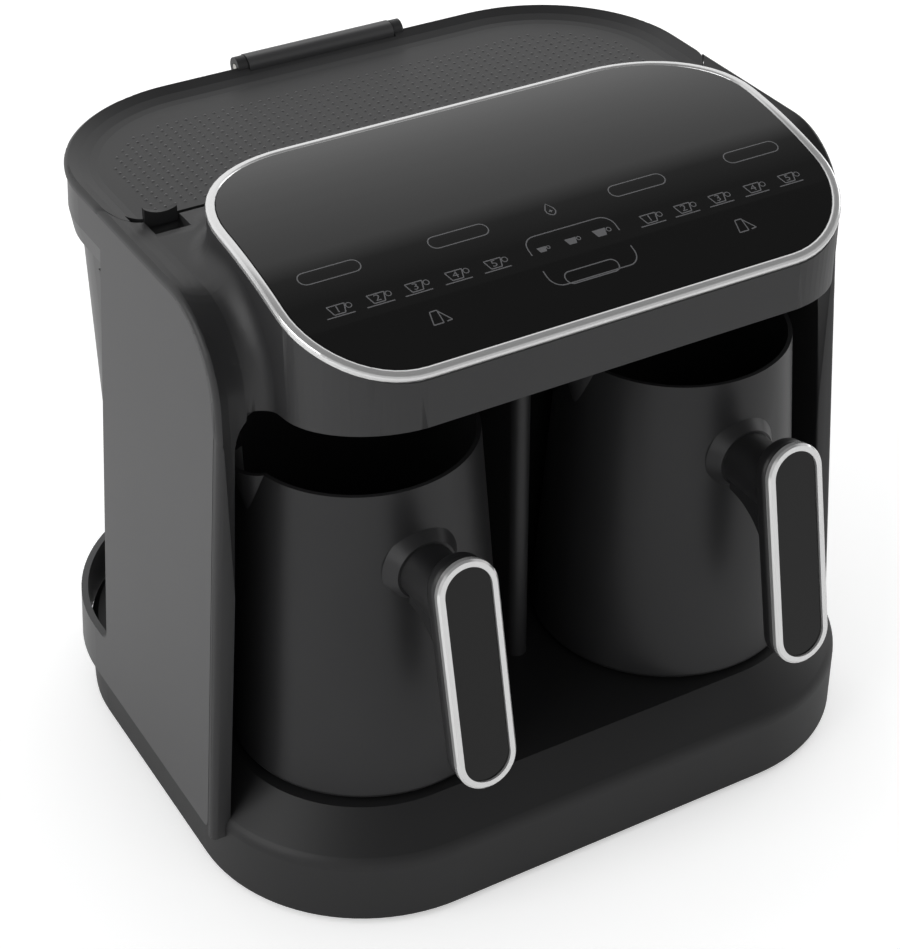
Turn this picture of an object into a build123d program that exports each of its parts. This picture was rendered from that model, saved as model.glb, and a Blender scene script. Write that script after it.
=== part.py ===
from build123d import *
import os
from math import cos, radians, sin, sqrt

os.makedirs("parts", exist_ok=True)

# Electric Turkish coffee maker with two pots.
# Millimetres. +X is the user's right, -Y is the front, +Z is up, and z = 0 is the worktop.

# ---------------------------------------------------------------- driving dimensions
# Fits
SEAT_GAP = 0.3            # between pieces of different bodies that rest on each other
PANEL_GAP = 0.3           # between a cover and the pocket that it fills
SLIDE_GAP = 0.3           # around a plunger or a hinge pin

# Base
FOOT_HEIGHT = 2.6
FOOT_R = 9.0
BASE_BOTTOM_Z = 2.0
BASE_HALF_WIDTH = 135.0
BASE_FRONT_Y = -104.7
BASE_REAR_Y = 124.5
BASE_FRONT_CORNER_R = 68.0
BASE_REAR_CORNER_R = 68.5
BASE_WALL = 3.0
BASE_WALL_TOP_Z = 29.0
DECK_Z = 42.2
APRON_WIDTH = 16.0
APRON_SOFT_R = 6.0
TROUGH_Z = 32.0
BOTTOM_PLATE_T = 2.4
PLATE_SCREW_R = 1.5
PLATE_SCREW_HEAD_R = 3.0
PLATE_BOSS_R = 4.5

# Side skin: a tapering shell that leans inwards as it rises
SKIN_REF_Z = 150.0
SKIN_HALF_WIDTH = 127.8
SKIN_FLARE = 0.0841
SKIN_REAR_Y = 120.6
SKIN_REAR_FLARE = 0.0574
SKIN_CORNER_R = 59.4
SKIN_CORNER_FLARE = 0.102
COVER_WALL = 2.6

# Housing in side view
HOUSING_FRONT_Y = -52.2
HOUSING_REAR_Y = 44.4
TOP_Z = 234.7
SHOULDER_R = 31.0
RIM_HALF_WIDTH = 124.4
RIM_EDGE_R = 2.0
RIM_HEIGHT = 3.0
DISH_DEPTH = 3.7
DISH_WIDTH = 11.6
HOUSING_WALL = 2.5

# Side covers in side view
COVER_FRONT_Y = -47.9
COVER_REAR_Y = 44.9
COVER_BOTTOM_Z = 25.9
COVER_CORNER_R = 27.0
COVER_FOOT_R = 3.0
LOW_BAND_TOP_Z = 46.0
LOW_BAND_NOTCH_R = 5.0
TOP_BAND_BOTTOM_Z = 215.0
TOP_BAND_CHAMFER = 7.5
COVER_SEAM = 0.3

# Bays for the pots
DIVIDER_HALF = 4.0
DIVIDER_NOSE_Y = -38.0
BAY_REAR_Y = 19.0
PILLAR_T = 7.0
BAY_ROOF_Z = 197.0
BAY_ARCH_R = 14.0
BAY_REAR_R = 11.0
SERVICE_DEPTH = 20.5

# Control pod and its tilted panel
PANEL_FRONT_Y = -106.2
PANEL_FRONT_Z = 233.8
PANEL_TILT = 7.96
PANEL_LENGTH = 123.9
PANEL_HALF_WIDTH = 103.5
PANEL_CORNER_R = 32.0
POD_WALL = 1.8
RING_WIDTH = 3.6
RING_HEIGHT = 2.4
RING_BEVEL = 1.1
RING_SKIRT = 1.3
RING_LEDGE = 3.0
RING_OVERHANG = 0.6
GLASS_T = 2.2
GLASS_DROP = 0.5
CONTROL_BOARD_DEPTH = 11.0
CONTROL_BOARD_T = 1.6
POD_FRONT_BOTTOM_Z = 207.0
POD_SLOPE_REAR_Y = -47.0
POD_FILLET_R = 7.5

# Water tank and lid
TANK_FRONT_Y = 46.4
TANK_HALF_WIDTH = 118.6
TANK_REAR_Y = 113.3
TANK_CORNER_R = 49.5
TANK_FRONT_CORNER_R = 6.0
TANK_DRAFT = 1.3
TANK_BOTTOM_Z = 33.2
TANK_TOP_Z = 228.2
TANK_WALL = 2.2
LID_FRONT_Y = 27.7
LID_REAR_Y = 116.0
LID_REAR_R = 59.0
LID_FRONT_R = 14.0
LID_BOTTOM_Z = 228.5
LID_BODY_INSET = 6.4
TAB_X = -105.6
TAB_WIDTH = 12.0
TAB_RISE = 3.0
TAB_RECESS_DEPTH = 6.0
TAB_RECESS_REACH = 10.0

# Lid hinge
HINGE_FRONT_Y = 112.8
HINGE_DEPTH = 9.0
HINGE_RISE = 3.0
HINGE_AXIS_DROP = 1.0
HINGE_HALF_WIDTH = 31.0
KNUCKLE_GAP = 0.4
KNUCKLE_WIDTH = 4.0
KNUCKLE_R = 4.0
HINGE_PIN_R = 1.5
HINGE_NOTCH_GAP = 0.7

# Tank valve and dock
VALVE_Y = 66.0
VALVE_R = 9.0
VALVE_WALL = 1.8
VALVE_LENGTH = 8.0
VALVE_FLANGE_R = 13.0
VALVE_FLANGE_T = 1.8
PLUNGER_R = 2.2
PLUNGER_HEAD_R = 6.0
DOCK_CLEARANCE = 1.2
DOCK_WALL = 2.0
DOCK_DEPTH = 15.0
DOCK_FLANGE_R = 17.0

# Pots
POT_X = 65.7
POT_Y = -35.7
POT_BASE_R = 51.2
POT_RIM_R = 42.2
POT_LIFT = 1.4
POT_HEIGHT = 125.5
POT_WALL = 1.6
POT_FLOOR_RISE = 21.0
SPOUT_REACH = 6.0
SPOUT_HALF_WIDTH = 11.0
SPOUT_DEPTH = 20.0
HEATER_R = 40.0
HEATER_T = 2.0

# Pot handle: a tilted stadium grip on a boss
HANDLE_TOP_Y = -108.9
HANDLE_TOP_Z = 159.1
HANDLE_TILT = 11.3
HANDLE_LENGTH = 86.3
HANDLE_WIDTH = 23.0
HANDLE_RING_WIDTH = 2.6
HANDLE_RING_T = 3.2
HANDLE_GRIP_T = 7.0
HANDLE_BOSS_Z = 138.5
HANDLE_BOSS_R = 10.2
HANDLE_COLLAR_R = 12.0
HANDLE_COLLAR_REACH = 3.0
HANDLE_WEB_R = 25.0

# Pot connector on the bay's rear wall
CONNECTOR_HALF_WIDTH = 8.0
CONNECTOR_HEIGHT = 8.0
CONNECTOR_Z = 48.4
CONNECTOR_REACH = 11.5
SOCKET_WALL = 1.4

# Water circuit
PUMP_X = 45.0
PUMP_R = 8.0
PUMP_LENGTH = 46.0
PUMP_BOTTOM_Z = 62.0
HOSE_R = 2.5
HOSE_WALL = 0.8
HOSE_BEND_R = 8.0
NOZZLE_R = 3.6
SENSOR_X = 84.0
SENSOR_R = 4.0

LEFT, RIGHT = -1, 1


# ---------------------------------------------------------------- shared shapes
def skin_half_width(z, inset=0.0):
    """Half width of the side skin at a height."""
    return SKIN_HALF_WIDTH + SKIN_FLARE * (SKIN_REF_Z - z) - inset


def skin_rear(z, inset=0.0):
    """Rear face of the skin at a height."""
    return SKIN_REAR_Y + SKIN_REAR_FLARE * (SKIN_REF_Z - z) - inset


def skin_corner(z, inset=0.0):
    """Rear corner radius of the skin at a height."""
    return SKIN_CORNER_R + SKIN_CORNER_FLARE * (SKIN_REF_Z - z) - inset


def plan(z, half_width, front, rear, front_r=0.0, rear_r=0.0):
    """Plan outline, square or rounded at the front and at the rear."""
    with BuildSketch(Plane.XY.offset(z)) as outline:
        with Locations((0, (front + rear) / 2)):
            Rectangle(2 * half_width, rear - front)
        if front_r:
            fillet(outline.vertices().group_by(Axis.Y)[0], front_r)
        if rear_r:
            fillet(outline.vertices().group_by(Axis.Y)[-1], rear_r)
    return outline.sketch


def block(x0, x1, y0, y1, z0, z1):
    """Plain box between two corners, used as a cutting tool."""
    with BuildPart() as box:
        with Locations(((x0 + x1) / 2, (y0 + y1) / 2, (z0 + z1) / 2)):
            Box(x1 - x0, y1 - y0, z1 - z0)
    return box.part


def stack(*sections):
    """Solid through plan outlines, with straight walls between them."""
    with BuildPart() as body:
        loft(sections=list(sections), ruled=True)
    return body.part


def skin_solid(inset, front, z0, z1):
    """Filled volume inside the side skin, square at its front."""
    return stack(*[
        plan(z, skin_half_width(z, inset), front, skin_rear(z, inset), 0, skin_corner(z, inset))
        for z in (z0, z1)
    ])


def side_profile(points, radii, half_width):
    """Solid from a side-view outline; radii gives the rounding of each corner."""
    with BuildSketch(Plane.YZ) as outline:
        with BuildLine():
            Polyline(*points, close=True)
        make_face()
        for point, radius in zip(points, radii):
            if radius:
                fillet(outline.vertices().sort_by_distance(Vector(*point, 0))[0], radius)
    with BuildPart() as body:
        extrude(outline.sketch, amount=half_width, both=True)
    return body.part


def export(builder, name):
    """Label a finished piece and write it as one STEP file."""
    builder.part.label = name
    export_step(builder.part, f"parts/{name}.step")


REACH = 400.0             # longer than the machine, for tools that cut right through

# ---------------------------------------------------------------- base
BASE_PLATE_BOTTOM_Z = FOOT_HEIGHT
BASE_PLATE_TOP_Z = BASE_PLATE_BOTTOM_Z + BOTTOM_PLATE_T
TROUGH_FRONT_Y = HOUSING_REAR_Y + 0.6
SERVICE_FRONT_Y = BAY_REAR_Y + HOUSING_WALL
SERVICE_REAR_Y = SERVICE_FRONT_Y + SERVICE_DEPTH
PLATE_SCREW_SPOTS = [
    (x, y)
    for x in (-0.78 * BASE_HALF_WIDTH, 0, 0.78 * BASE_HALF_WIDTH)
    for y in (BASE_FRONT_Y + 0.55 * BASE_FRONT_CORNER_R, BASE_REAR_Y - 0.55 * BASE_REAR_CORNER_R)
]
FOOT_SPOTS = [
    (x, y)
    for x in (-0.62 * BASE_HALF_WIDTH, 0.62 * BASE_HALF_WIDTH)
    for y in (BASE_FRONT_Y + 0.42 * BASE_FRONT_CORNER_R, BASE_REAR_Y - 0.42 * BASE_REAR_CORNER_R)
]


def base_plan(z, inset=0.0):
    """Plan outline of the base, pulled in by an inset."""
    return plan(
        z, BASE_HALF_WIDTH - inset, BASE_FRONT_Y + inset, BASE_REAR_Y - inset,
        BASE_FRONT_CORNER_R - inset, BASE_REAR_CORNER_R - inset,
    )


with BuildPart() as base_form:
    extrude(base_plan(BASE_BOTTOM_Z), amount=BASE_WALL_TOP_Z - BASE_BOTTOM_Z)
    loft(sections=[base_plan(BASE_WALL_TOP_Z), base_plan(DECK_Z, APRON_WIDTH)], ruled=True)
    soft_edge = base_form.edges().filter_by_position(
        Axis.Z, BASE_WALL_TOP_Z - 0.01, BASE_WALL_TOP_Z + 0.01
    )
    fillet(soft_edge, APRON_SOFT_R)
    chamfer(base_form.faces().sort_by(Axis.Z)[0].edges(), 1.0)

base_cavity = stack(
    base_plan(BASE_BOTTOM_Z - 1, BASE_WALL),
    base_plan(BASE_WALL_TOP_Z - BASE_WALL, BASE_WALL),
)
deck_cavity_inset = BASE_WALL + APRON_WIDTH
deck_cavity = stack(*[
    plan(
        z, BASE_HALF_WIDTH - deck_cavity_inset, BASE_FRONT_Y + deck_cavity_inset,
        TROUGH_FRONT_Y - BASE_WALL, BASE_FRONT_CORNER_R - deck_cavity_inset, 0,
    )
    for z in (BASE_WALL_TOP_Z - BASE_WALL - 1, DECK_Z - BASE_WALL)
])
BOSS_TOP_Z = BASE_WALL_TOP_Z - 1.0

with BuildPart() as base_housing:
    add(base_form.part)
    add(block(-REACH, REACH, TROUGH_FRONT_Y, REACH, TROUGH_Z, REACH), mode=Mode.SUBTRACT)
    add(base_cavity, mode=Mode.SUBTRACT)
    add(deck_cavity, mode=Mode.SUBTRACT)
    # Slot for the hoses and wires that rise into the housing
    add(
        block(-PUMP_X - 12, PUMP_X + 12, SERVICE_FRONT_Y + 1, SERVICE_REAR_Y - 1,
              DECK_Z - 2 * BASE_WALL, DECK_Z + 1),
        mode=Mode.SUBTRACT,
    )
    # Hole for the tank dock
    with Locations((0, VALVE_Y, TROUGH_Z)):
        Hole(VALVE_R + DOCK_CLEARANCE + DOCK_WALL + 0.2, depth=2 * BASE_WALL)
    # Screw bosses
    with BuildSketch(Plane.XY.offset(BASE_PLATE_TOP_Z)):
        with Locations(*PLATE_SCREW_SPOTS):
            Circle(PLATE_BOSS_R)
    extrude(amount=BOSS_TOP_Z - BASE_PLATE_TOP_Z)
    # The middle front boss stands under the raised deck
    with BuildSketch(Plane.XY.offset(BASE_PLATE_TOP_Z)):
        with Locations(PLATE_SCREW_SPOTS[2]):
            Circle(PLATE_BOSS_R)
    extrude(amount=DECK_Z - BASE_WALL + 0.5 - BASE_PLATE_TOP_Z)
    with BuildSketch(Plane.XY.offset(BASE_PLATE_TOP_Z)):
        with Locations(*PLATE_SCREW_SPOTS):
            Circle(PLATE_SCREW_R)
    extrude(amount=12, mode=Mode.SUBTRACT)
    # Hole for the cord gland in the rear wall
    with Locations(Location((0, BASE_REAR_Y + 1, 14), (90, 0, 0))):
        Hole(5.0, depth=2 * BASE_WALL)
export(base_housing, "base_housing")

with BuildPart() as base_bottom_plate:
    extrude(base_plan(BASE_PLATE_BOTTOM_Z, BASE_WALL + PANEL_GAP), amount=BOTTOM_PLATE_T)
    with Locations(*[(x, y, BASE_PLATE_BOTTOM_Z) for x, y in PLATE_SCREW_SPOTS]):
        Hole(PLATE_SCREW_R + 0.2, depth=3 * BOTTOM_PLATE_T)
    # Rows of cooling slots under the pots
    with BuildSketch(Plane.XY.offset(BASE_PLATE_BOTTOM_Z)):
        with GridLocations(2 * POT_X, 12, 2, 5):
            SlotOverall(46, 4)
    extrude(amount=BOTTOM_PLATE_T, mode=Mode.SUBTRACT)
export(base_bottom_plate, "base_bottom_plate")

with BuildPart() as base_screws:
    with BuildSketch(Plane.XY.offset(BASE_PLATE_BOTTOM_Z - 1.8)):
        with Locations(*PLATE_SCREW_SPOTS):
            Circle(PLATE_SCREW_HEAD_R)
    extrude(amount=1.8)
    with BuildSketch(Plane.XY.offset(BASE_PLATE_BOTTOM_Z - 1.8)):
        with Locations(*PLATE_SCREW_SPOTS):
            Rectangle(3.2, 0.8)
            Rectangle(0.8, 3.2)
    extrude(amount=1.0, mode=Mode.SUBTRACT)
    with BuildSketch(Plane.XY.offset(BASE_PLATE_BOTTOM_Z)):
        with Locations(*PLATE_SCREW_SPOTS):
            Circle(PLATE_SCREW_R)
    extrude(amount=10)
export(base_screws, "base_screws")

with BuildPart() as rubber_feet:
    with BuildSketch(Plane.XY):
        with Locations(*FOOT_SPOTS):
            Circle(FOOT_R)
    extrude(amount=FOOT_HEIGHT)
    chamfer(rubber_feet.faces().filter_by(Plane.XY).group_by(Axis.Z)[0].edges(), 0.8)
export(rubber_feet, "rubber_feet")

# ---------------------------------------------------------------- panel plane
PANEL_PLANE = Plane(
    origin=(0, PANEL_FRONT_Y, PANEL_FRONT_Z),
    x_dir=(1, 0, 0),
    z_dir=(0, -sin(radians(PANEL_TILT)), cos(radians(PANEL_TILT))),
)


def panel_outline(offset_out, depth):
    """Rounded panel outline on the tilted plane, at a depth below its top."""
    with BuildSketch(PANEL_PLANE.offset(-depth)) as outline:
        with Locations((0, PANEL_LENGTH / 2)):
            RectangleRounded(
                2 * (PANEL_HALF_WIDTH + offset_out), PANEL_LENGTH + 2 * offset_out,
                PANEL_CORNER_R + offset_out,
            )
    return outline.sketch


RING_OUT = RING_WIDTH / 2
POD_OUT = RING_OUT - RING_OVERHANG
POD_HALF_WIDTH = PANEL_HALF_WIDTH + POD_OUT
POD_FRONT_Y = PANEL_FRONT_Y - POD_OUT
POD_REAR_Y = PANEL_FRONT_Y + PANEL_LENGTH * cos(radians(PANEL_TILT)) + POD_OUT
POD_CORNER_R = PANEL_CORNER_R + POD_OUT

with BuildPart() as below_panel:
    extrude(panel_outline(60, RING_HEIGHT), amount=-REACH)
with BuildPart() as below_board:
    extrude(panel_outline(60, CONTROL_BOARD_DEPTH), amount=-REACH)

# ---------------------------------------------------------------- main housing
VALLEY_STEPS = ((1.0, 0.0), (0.755, 0.12), (0.45, 0.45), (0.15, 0.96))
CONTROL_BOARD_SPOTS = [(x, y) for x in (-72, 72) for y in (-78, -34)]


def front_cut(x, lift):
    """Side-view region outside the valley profile, on the plane at x."""
    top = TOP_Z - DISH_DEPTH + lift
    front = HOUSING_FRONT_Y + DISH_DEPTH - lift
    with BuildSketch(Plane.YZ.offset(x)) as outline:
        with BuildLine():
            Polyline(
                (REACH, top), (front, top), (front, DECK_Z), (-REACH, DECK_Z), (-REACH, REACH),
                (REACH, REACH), close=True,
            )
        make_face()
        fillet(
            outline.vertices().sort_by_distance(Vector(front, top, 0))[0],
            SHOULDER_R - DISH_DEPTH + lift,
        )
    return outline.sketch


valley_half = RIM_HALF_WIDTH - DISH_WIDTH
with BuildPart() as valley_tool:
    extrude(front_cut(-valley_half, 0.0), amount=2 * valley_half)
    for side in (LEFT, RIGHT):
        loft(
            sections=[
                front_cut(side * (RIM_HALF_WIDTH - DISH_WIDTH * share), DISH_DEPTH * rise)
                for share, rise in VALLEY_STEPS
            ],
            ruled=True,
        )

HOUSING_FOOT_Z = BASE_WALL_TOP_Z - 6
outer_profile = side_profile(
    [(HOUSING_FRONT_Y, HOUSING_FOOT_Z), (HOUSING_FRONT_Y, TOP_Z), (HOUSING_REAR_Y, TOP_Z),
     (HOUSING_REAR_Y, HOUSING_FOOT_Z)],
    [0, SHOULDER_R, 0, 0], REACH / 2,
)
cover_region = side_profile(
    [(COVER_FRONT_Y - PANEL_GAP, COVER_BOTTOM_Z - 20),
     (COVER_FRONT_Y - PANEL_GAP, TOP_Z - RIM_HEIGHT),
     (REACH, TOP_Z - RIM_HEIGHT), (REACH, COVER_BOTTOM_Z - 20)],
    [0, COVER_CORNER_R + PANEL_GAP, 0, 0], REACH / 2,
)
with BuildPart() as cover_pocket:
    add(cover_region)
    add(skin_solid(COVER_WALL + PANEL_GAP, -REACH, 0, TOP_Z + 10), mode=Mode.SUBTRACT)

RIM_PRISM_Z = SKIN_REF_Z + (SKIN_HALF_WIDTH - RIM_HALF_WIDTH) / SKIN_FLARE
with BuildPart() as housing_form:
    add(skin_solid(0, HOUSING_FRONT_Y - 20, HOUSING_FOOT_Z, TOP_Z))
    add(block(-RIM_HALF_WIDTH, RIM_HALF_WIDTH, HOUSING_FRONT_Y - 20, HOUSING_REAR_Y,
              RIM_PRISM_Z, TOP_Z))
    add(outer_profile, mode=Mode.INTERSECT)


def bay_tool(side):
    """Space for one pot: a vaulted niche with a rounded back."""
    floor_z = DECK_Z - 12
    outer_low = skin_half_width(floor_z, PILLAR_T)
    outer_high = skin_half_width(BAY_ROOF_Z, PILLAR_T)
    with BuildSketch(Plane.XZ.offset(-BAY_REAR_Y)) as outline:
        with BuildLine():
            Polyline(
                (side * DIVIDER_HALF, floor_z), (side * DIVIDER_HALF, BAY_ROOF_Z),
                (side * outer_high, BAY_ROOF_Z), (side * outer_low, floor_z), close=True,
            )
        make_face()
        fillet(outline.vertices().group_by(Axis.Y)[-1], BAY_ARCH_R)
    with BuildPart() as bay:
        extrude(outline.sketch, amount=BAY_REAR_Y - POD_FRONT_Y + 1)
        fillet(bay.faces().sort_by(Axis.Y)[-1].edges().filter_by_position(
            Axis.Z, floor_z + 1, REACH), BAY_REAR_R)
    return bay.part


bays = [bay_tool(side) for side in (LEFT, RIGHT)]

POD_SLOPE = (POD_FRONT_BOTTOM_Z - BAY_ROOF_Z) / (POD_SLOPE_REAR_Y - POD_FRONT_Y)
pod_underside = side_profile(
    [(-REACH, BAY_ROOF_Z + POD_SLOPE * (POD_SLOPE_REAR_Y + REACH)), (POD_SLOPE_REAR_Y, BAY_ROOF_Z),
     (POD_SLOPE_REAR_Y, 0), (-REACH, 0)],
    [0, 0, 0, 0], POD_HALF_WIDTH + POD_FILLET_R,
)
with BuildPart() as pod:
    with BuildSketch(Plane.XY.offset(BAY_ROOF_Z - 3 * BAY_ARCH_R)):
        with Locations((0, (POD_FRONT_Y + POD_REAR_Y) / 2)):
            RectangleRounded(2 * POD_HALF_WIDTH, POD_REAR_Y - POD_FRONT_Y, POD_CORNER_R)
    extrude(amount=REACH / 4)
    add(below_panel.part, mode=Mode.INTERSECT)

POD_INNER_HALF = POD_HALF_WIDTH - POD_WALL
pod_cavity_side = side_profile(
    [(-REACH, BAY_ROOF_Z + POD_SLOPE * (POD_SLOPE_REAR_Y + REACH) + HOUSING_WALL),
     (POD_SLOPE_REAR_Y, BAY_ROOF_Z + HOUSING_WALL), (REACH, BAY_ROOF_Z + HOUSING_WALL),
     (REACH, REACH), (-REACH, REACH)],
    [0, 0, 0, 0, 0], REACH / 2,
)
RING_LEAN = 0.65 * (GLASS_DROP + GLASS_T + RING_SKIRT) * sin(radians(PANEL_TILT))
with BuildPart() as pod_cavity:
    with BuildSketch(Plane.XY.offset(BAY_ROOF_Z)):
        with Locations((0, (POD_FRONT_Y + POD_REAR_Y) / 2 + RING_LEAN)):
            RectangleRounded(
                2 * POD_INNER_HALF, POD_REAR_Y - POD_FRONT_Y - 2 * POD_WALL,
                POD_CORNER_R - POD_WALL,
            )
    extrude(amount=REACH / 4)
    add(pod_cavity_side, mode=Mode.INTERSECT)

SERVICE_TOP_Z = TANK_TOP_Z - 14
service_cavity = stack(*[
    plan(z, skin_half_width(z, COVER_WALL + 2 * HOUSING_WALL + PANEL_GAP), SERVICE_FRONT_Y, REACH / 4)
    for z in (HOUSING_FOOT_Z, SERVICE_TOP_Z)
])
SERVICE_BOSS_SPOTS = [
    (x, z) for x in (-96, 0, 96) for z in (DECK_Z + 16, SERVICE_TOP_Z - 12)
]
SERVICE_BOSS_R = 4.0
REAR_PANEL_T = 2.4
HOSE_DUCT_Z = BAY_ROOF_Z + HOUSING_WALL + 7
PUMP_Y = (SERVICE_FRONT_Y + SERVICE_REAR_Y) / 2
NOZZLE_Y = POT_Y
lid_space = stack(*[
    plan(z, RIM_HALF_WIDTH + SEAT_GAP, LID_FRONT_Y - SEAT_GAP, REACH / 4, LID_FRONT_R + SEAT_GAP)
    for z in (LID_BOTTOM_Z - SEAT_GAP, TOP_Z + 20)
])
LID_FULL_WIDTH_Y = LID_FRONT_Y + 0.75 * LID_FRONT_R

with BuildPart() as tab_recess:
    with BuildSketch(Plane.YZ.offset(TAB_X - TAB_WIDTH / 2 - 0.5)) as recess_side:
        with BuildLine():
            Polyline(
                (LID_FRONT_Y + 1, TOP_Z), (LID_FRONT_Y + 1, TOP_Z - DISH_DEPTH - TAB_RECESS_DEPTH),
                (LID_FRONT_Y - 0.5 * TAB_RECESS_REACH, TOP_Z - DISH_DEPTH - TAB_RECESS_DEPTH),
                (LID_FRONT_Y - TAB_RECESS_REACH, TOP_Z - DISH_DEPTH + 0.1),
                (LID_FRONT_Y - TAB_RECESS_REACH, TOP_Z), close=True,
            )
        make_face()
        fillet(recess_side.vertices().group_by(Axis.Y)[0].sort_by(Axis.X)[0], 4.0)
    extrude(amount=TAB_WIDTH + 1)

with BuildPart() as board_posts:
    with BuildSketch(Plane.XY.offset(BAY_ROOF_Z)):
        with Locations(*CONTROL_BOARD_SPOTS):
            Circle(3.0)
    extrude(amount=REACH / 4)
    add(below_board.part, mode=Mode.INTERSECT)
    add(pod_underside, mode=Mode.SUBTRACT)

with BuildPart() as service_bosses:
    with BuildSketch(Plane.XZ.offset(-SERVICE_FRONT_Y + 1)):
        with Locations(*SERVICE_BOSS_SPOTS):
            Circle(SERVICE_BOSS_R)
    extrude(amount=-(HOUSING_REAR_Y - REAR_PANEL_T - SERVICE_FRONT_Y + 1))
    with BuildSketch(Plane.XZ.offset(-(HOUSING_REAR_Y - REAR_PANEL_T))):
        with Locations(*SERVICE_BOSS_SPOTS):
            Circle(PLATE_SCREW_R)
    extrude(amount=12, mode=Mode.SUBTRACT)

with BuildPart() as main_housing:
    add(housing_form.part)
    shoulder_edges = [
        edge for edge in main_housing.edges()
        if abs(edge.center().X) > RIM_HALF_WIDTH - 1
        and edge.center().Y < HOUSING_REAR_Y - 1
        and not (abs(edge.center().Z - HOUSING_FOOT_Z) < 1)
        and (abs(edge.center().Y - HOUSING_FRONT_Y) < 12 or edge.center().Z > TOP_Z - 20)
    ]
    fillet(shoulder_edges, RIM_EDGE_R)
    add(valley_tool.part, mode=Mode.SUBTRACT)
    add(pod.part)
    # Concave blend between the pod and the shoulders, and behind the pod
    blend_edges = [
        edge for edge in main_housing.edges()
        if edge.center().Z < TOP_Z - DISH_DEPTH + 0.1
        and edge.center().Z > BAY_ROOF_Z - 20
        and edge.center().Y > HOUSING_FRONT_Y + DISH_DEPTH - 0.1
        and abs(edge.center().X) < POD_HALF_WIDTH + 0.1
        and (abs(abs(edge.center().X) - POD_HALF_WIDTH) < 0.01
             or (abs(edge.center().Z - (TOP_Z - DISH_DEPTH)) < 0.01
                 and POD_REAR_Y - POD_CORNER_R < edge.center().Y < POD_REAR_Y + 0.01))
    ]
    fillet(blend_edges, POD_FILLET_R)
    add(cover_pocket.part, mode=Mode.SUBTRACT)
    add(bays, mode=Mode.SUBTRACT)
    add(pod_underside, mode=Mode.SUBTRACT)
    # The divider stops short of the housing front and has a rounded nose
    add(
        block(-DIVIDER_HALF - 1, DIVIDER_HALF + 1, -REACH, DIVIDER_NOSE_Y + DIVIDER_HALF, 0,
              BAY_ROOF_Z),
        mode=Mode.SUBTRACT,
    )
    with BuildSketch(Plane.XY.offset(DECK_Z)):
        with Locations((0, DIVIDER_NOSE_Y + DIVIDER_HALF)):
            Circle(DIVIDER_HALF)
    extrude(amount=BAY_ROOF_Z + HOUSING_WALL - DECK_Z)
    add(base_form.part, mode=Mode.SUBTRACT)
    add(lid_space, mode=Mode.SUBTRACT)
    add(block(-REACH, REACH, LID_FULL_WIDTH_Y, REACH, LID_BOTTOM_Z - SEAT_GAP, REACH),
        mode=Mode.SUBTRACT)
    add(tab_recess.part, mode=Mode.SUBTRACT)
    add(service_cavity, mode=Mode.SUBTRACT)
    add(pod_cavity.part, mode=Mode.SUBTRACT)
    add(service_bosses.part)
    add(board_posts.part)
    for side in (LEFT, RIGHT):
        # Duct for the outlet hose, and the openings for the nozzle and the foam sensor
        add(
            block(side * PUMP_X - 5, side * PUMP_X + 5, POD_REAR_Y - POD_WALL - 1,
                  SERVICE_FRONT_Y + 1, HOSE_DUCT_Z - 4, HOSE_DUCT_Z + 4),
            mode=Mode.SUBTRACT,
        )
        with Locations((side * PUMP_X, NOZZLE_Y, BAY_ROOF_Z + HOUSING_WALL)):
            Hole(NOZZLE_R + 0.1, depth=2 * HOUSING_WALL)
        with Locations((side * SENSOR_X, NOZZLE_Y, BAY_ROOF_Z + HOUSING_WALL)):
            Hole(SENSOR_R + 0.1, depth=2 * HOUSING_WALL)
export(main_housing, "main_housing")

# ---------------------------------------------------------------- side covers
COVER_TOP_Z = TOP_Z - RIM_HEIGHT - 0.5
TANK_PASSAGE_GAP = 0.5
HINGE_GAP_HALF = HINGE_HALF_WIDTH + KNUCKLE_GAP + KNUCKLE_WIDTH + 0.4


def tank_section(z, inset, grow=0.0):
    """Plan outline of the tank, pulled in by its draft and an inset."""
    return plan(
        z, TANK_HALF_WIDTH - inset + grow, TANK_FRONT_Y + inset - grow,
        TANK_REAR_Y - inset + grow, max(TANK_FRONT_CORNER_R - inset, 1.5),
        TANK_CORNER_R - inset + grow,
    )


cover_profile = side_profile(
    [(COVER_FRONT_Y, COVER_BOTTOM_Z), (COVER_FRONT_Y, COVER_TOP_Z), (REACH, COVER_TOP_Z),
     (REACH, COVER_BOTTOM_Z)],
    [COVER_FOOT_R, COVER_CORNER_R, 0, 0], REACH / 2,
)
window_bottom_z = TOP_BAND_BOTTOM_Z - TOP_BAND_CHAMFER
cover_window = side_profile(
    [(COVER_REAR_Y, LOW_BAND_TOP_Z), (REACH, LOW_BAND_TOP_Z), (REACH, window_bottom_z),
     (COVER_REAR_Y, window_bottom_z)],
    [LOW_BAND_NOTCH_R, 0, 0, LOW_BAND_NOTCH_R], REACH / 2,
)
with BuildPart() as band_chamfer:
    add(block(-REACH, REACH, COVER_REAR_Y, REACH, window_bottom_z - 1, TOP_BAND_BOTTOM_Z))
    add(
        stack(*[
            plan(z, skin_half_width(z, inset), COVER_REAR_Y - 50, skin_rear(z, inset), 0,
                 skin_corner(z, inset))
            for z, inset in (
                (window_bottom_z - 1, COVER_WALL - 0.8), (TOP_BAND_BOTTOM_Z, 0),
            )
        ]),
        mode=Mode.SUBTRACT,
    )
tank_passage = stack(*[
    plan(z, TANK_HALF_WIDTH + TANK_PASSAGE_GAP, COVER_REAR_Y + 1, TANK_REAR_Y + TANK_PASSAGE_GAP,
         0, TANK_CORNER_R + TANK_PASSAGE_GAP)
    for z in (LOW_BAND_TOP_Z, REACH)
])
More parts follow.
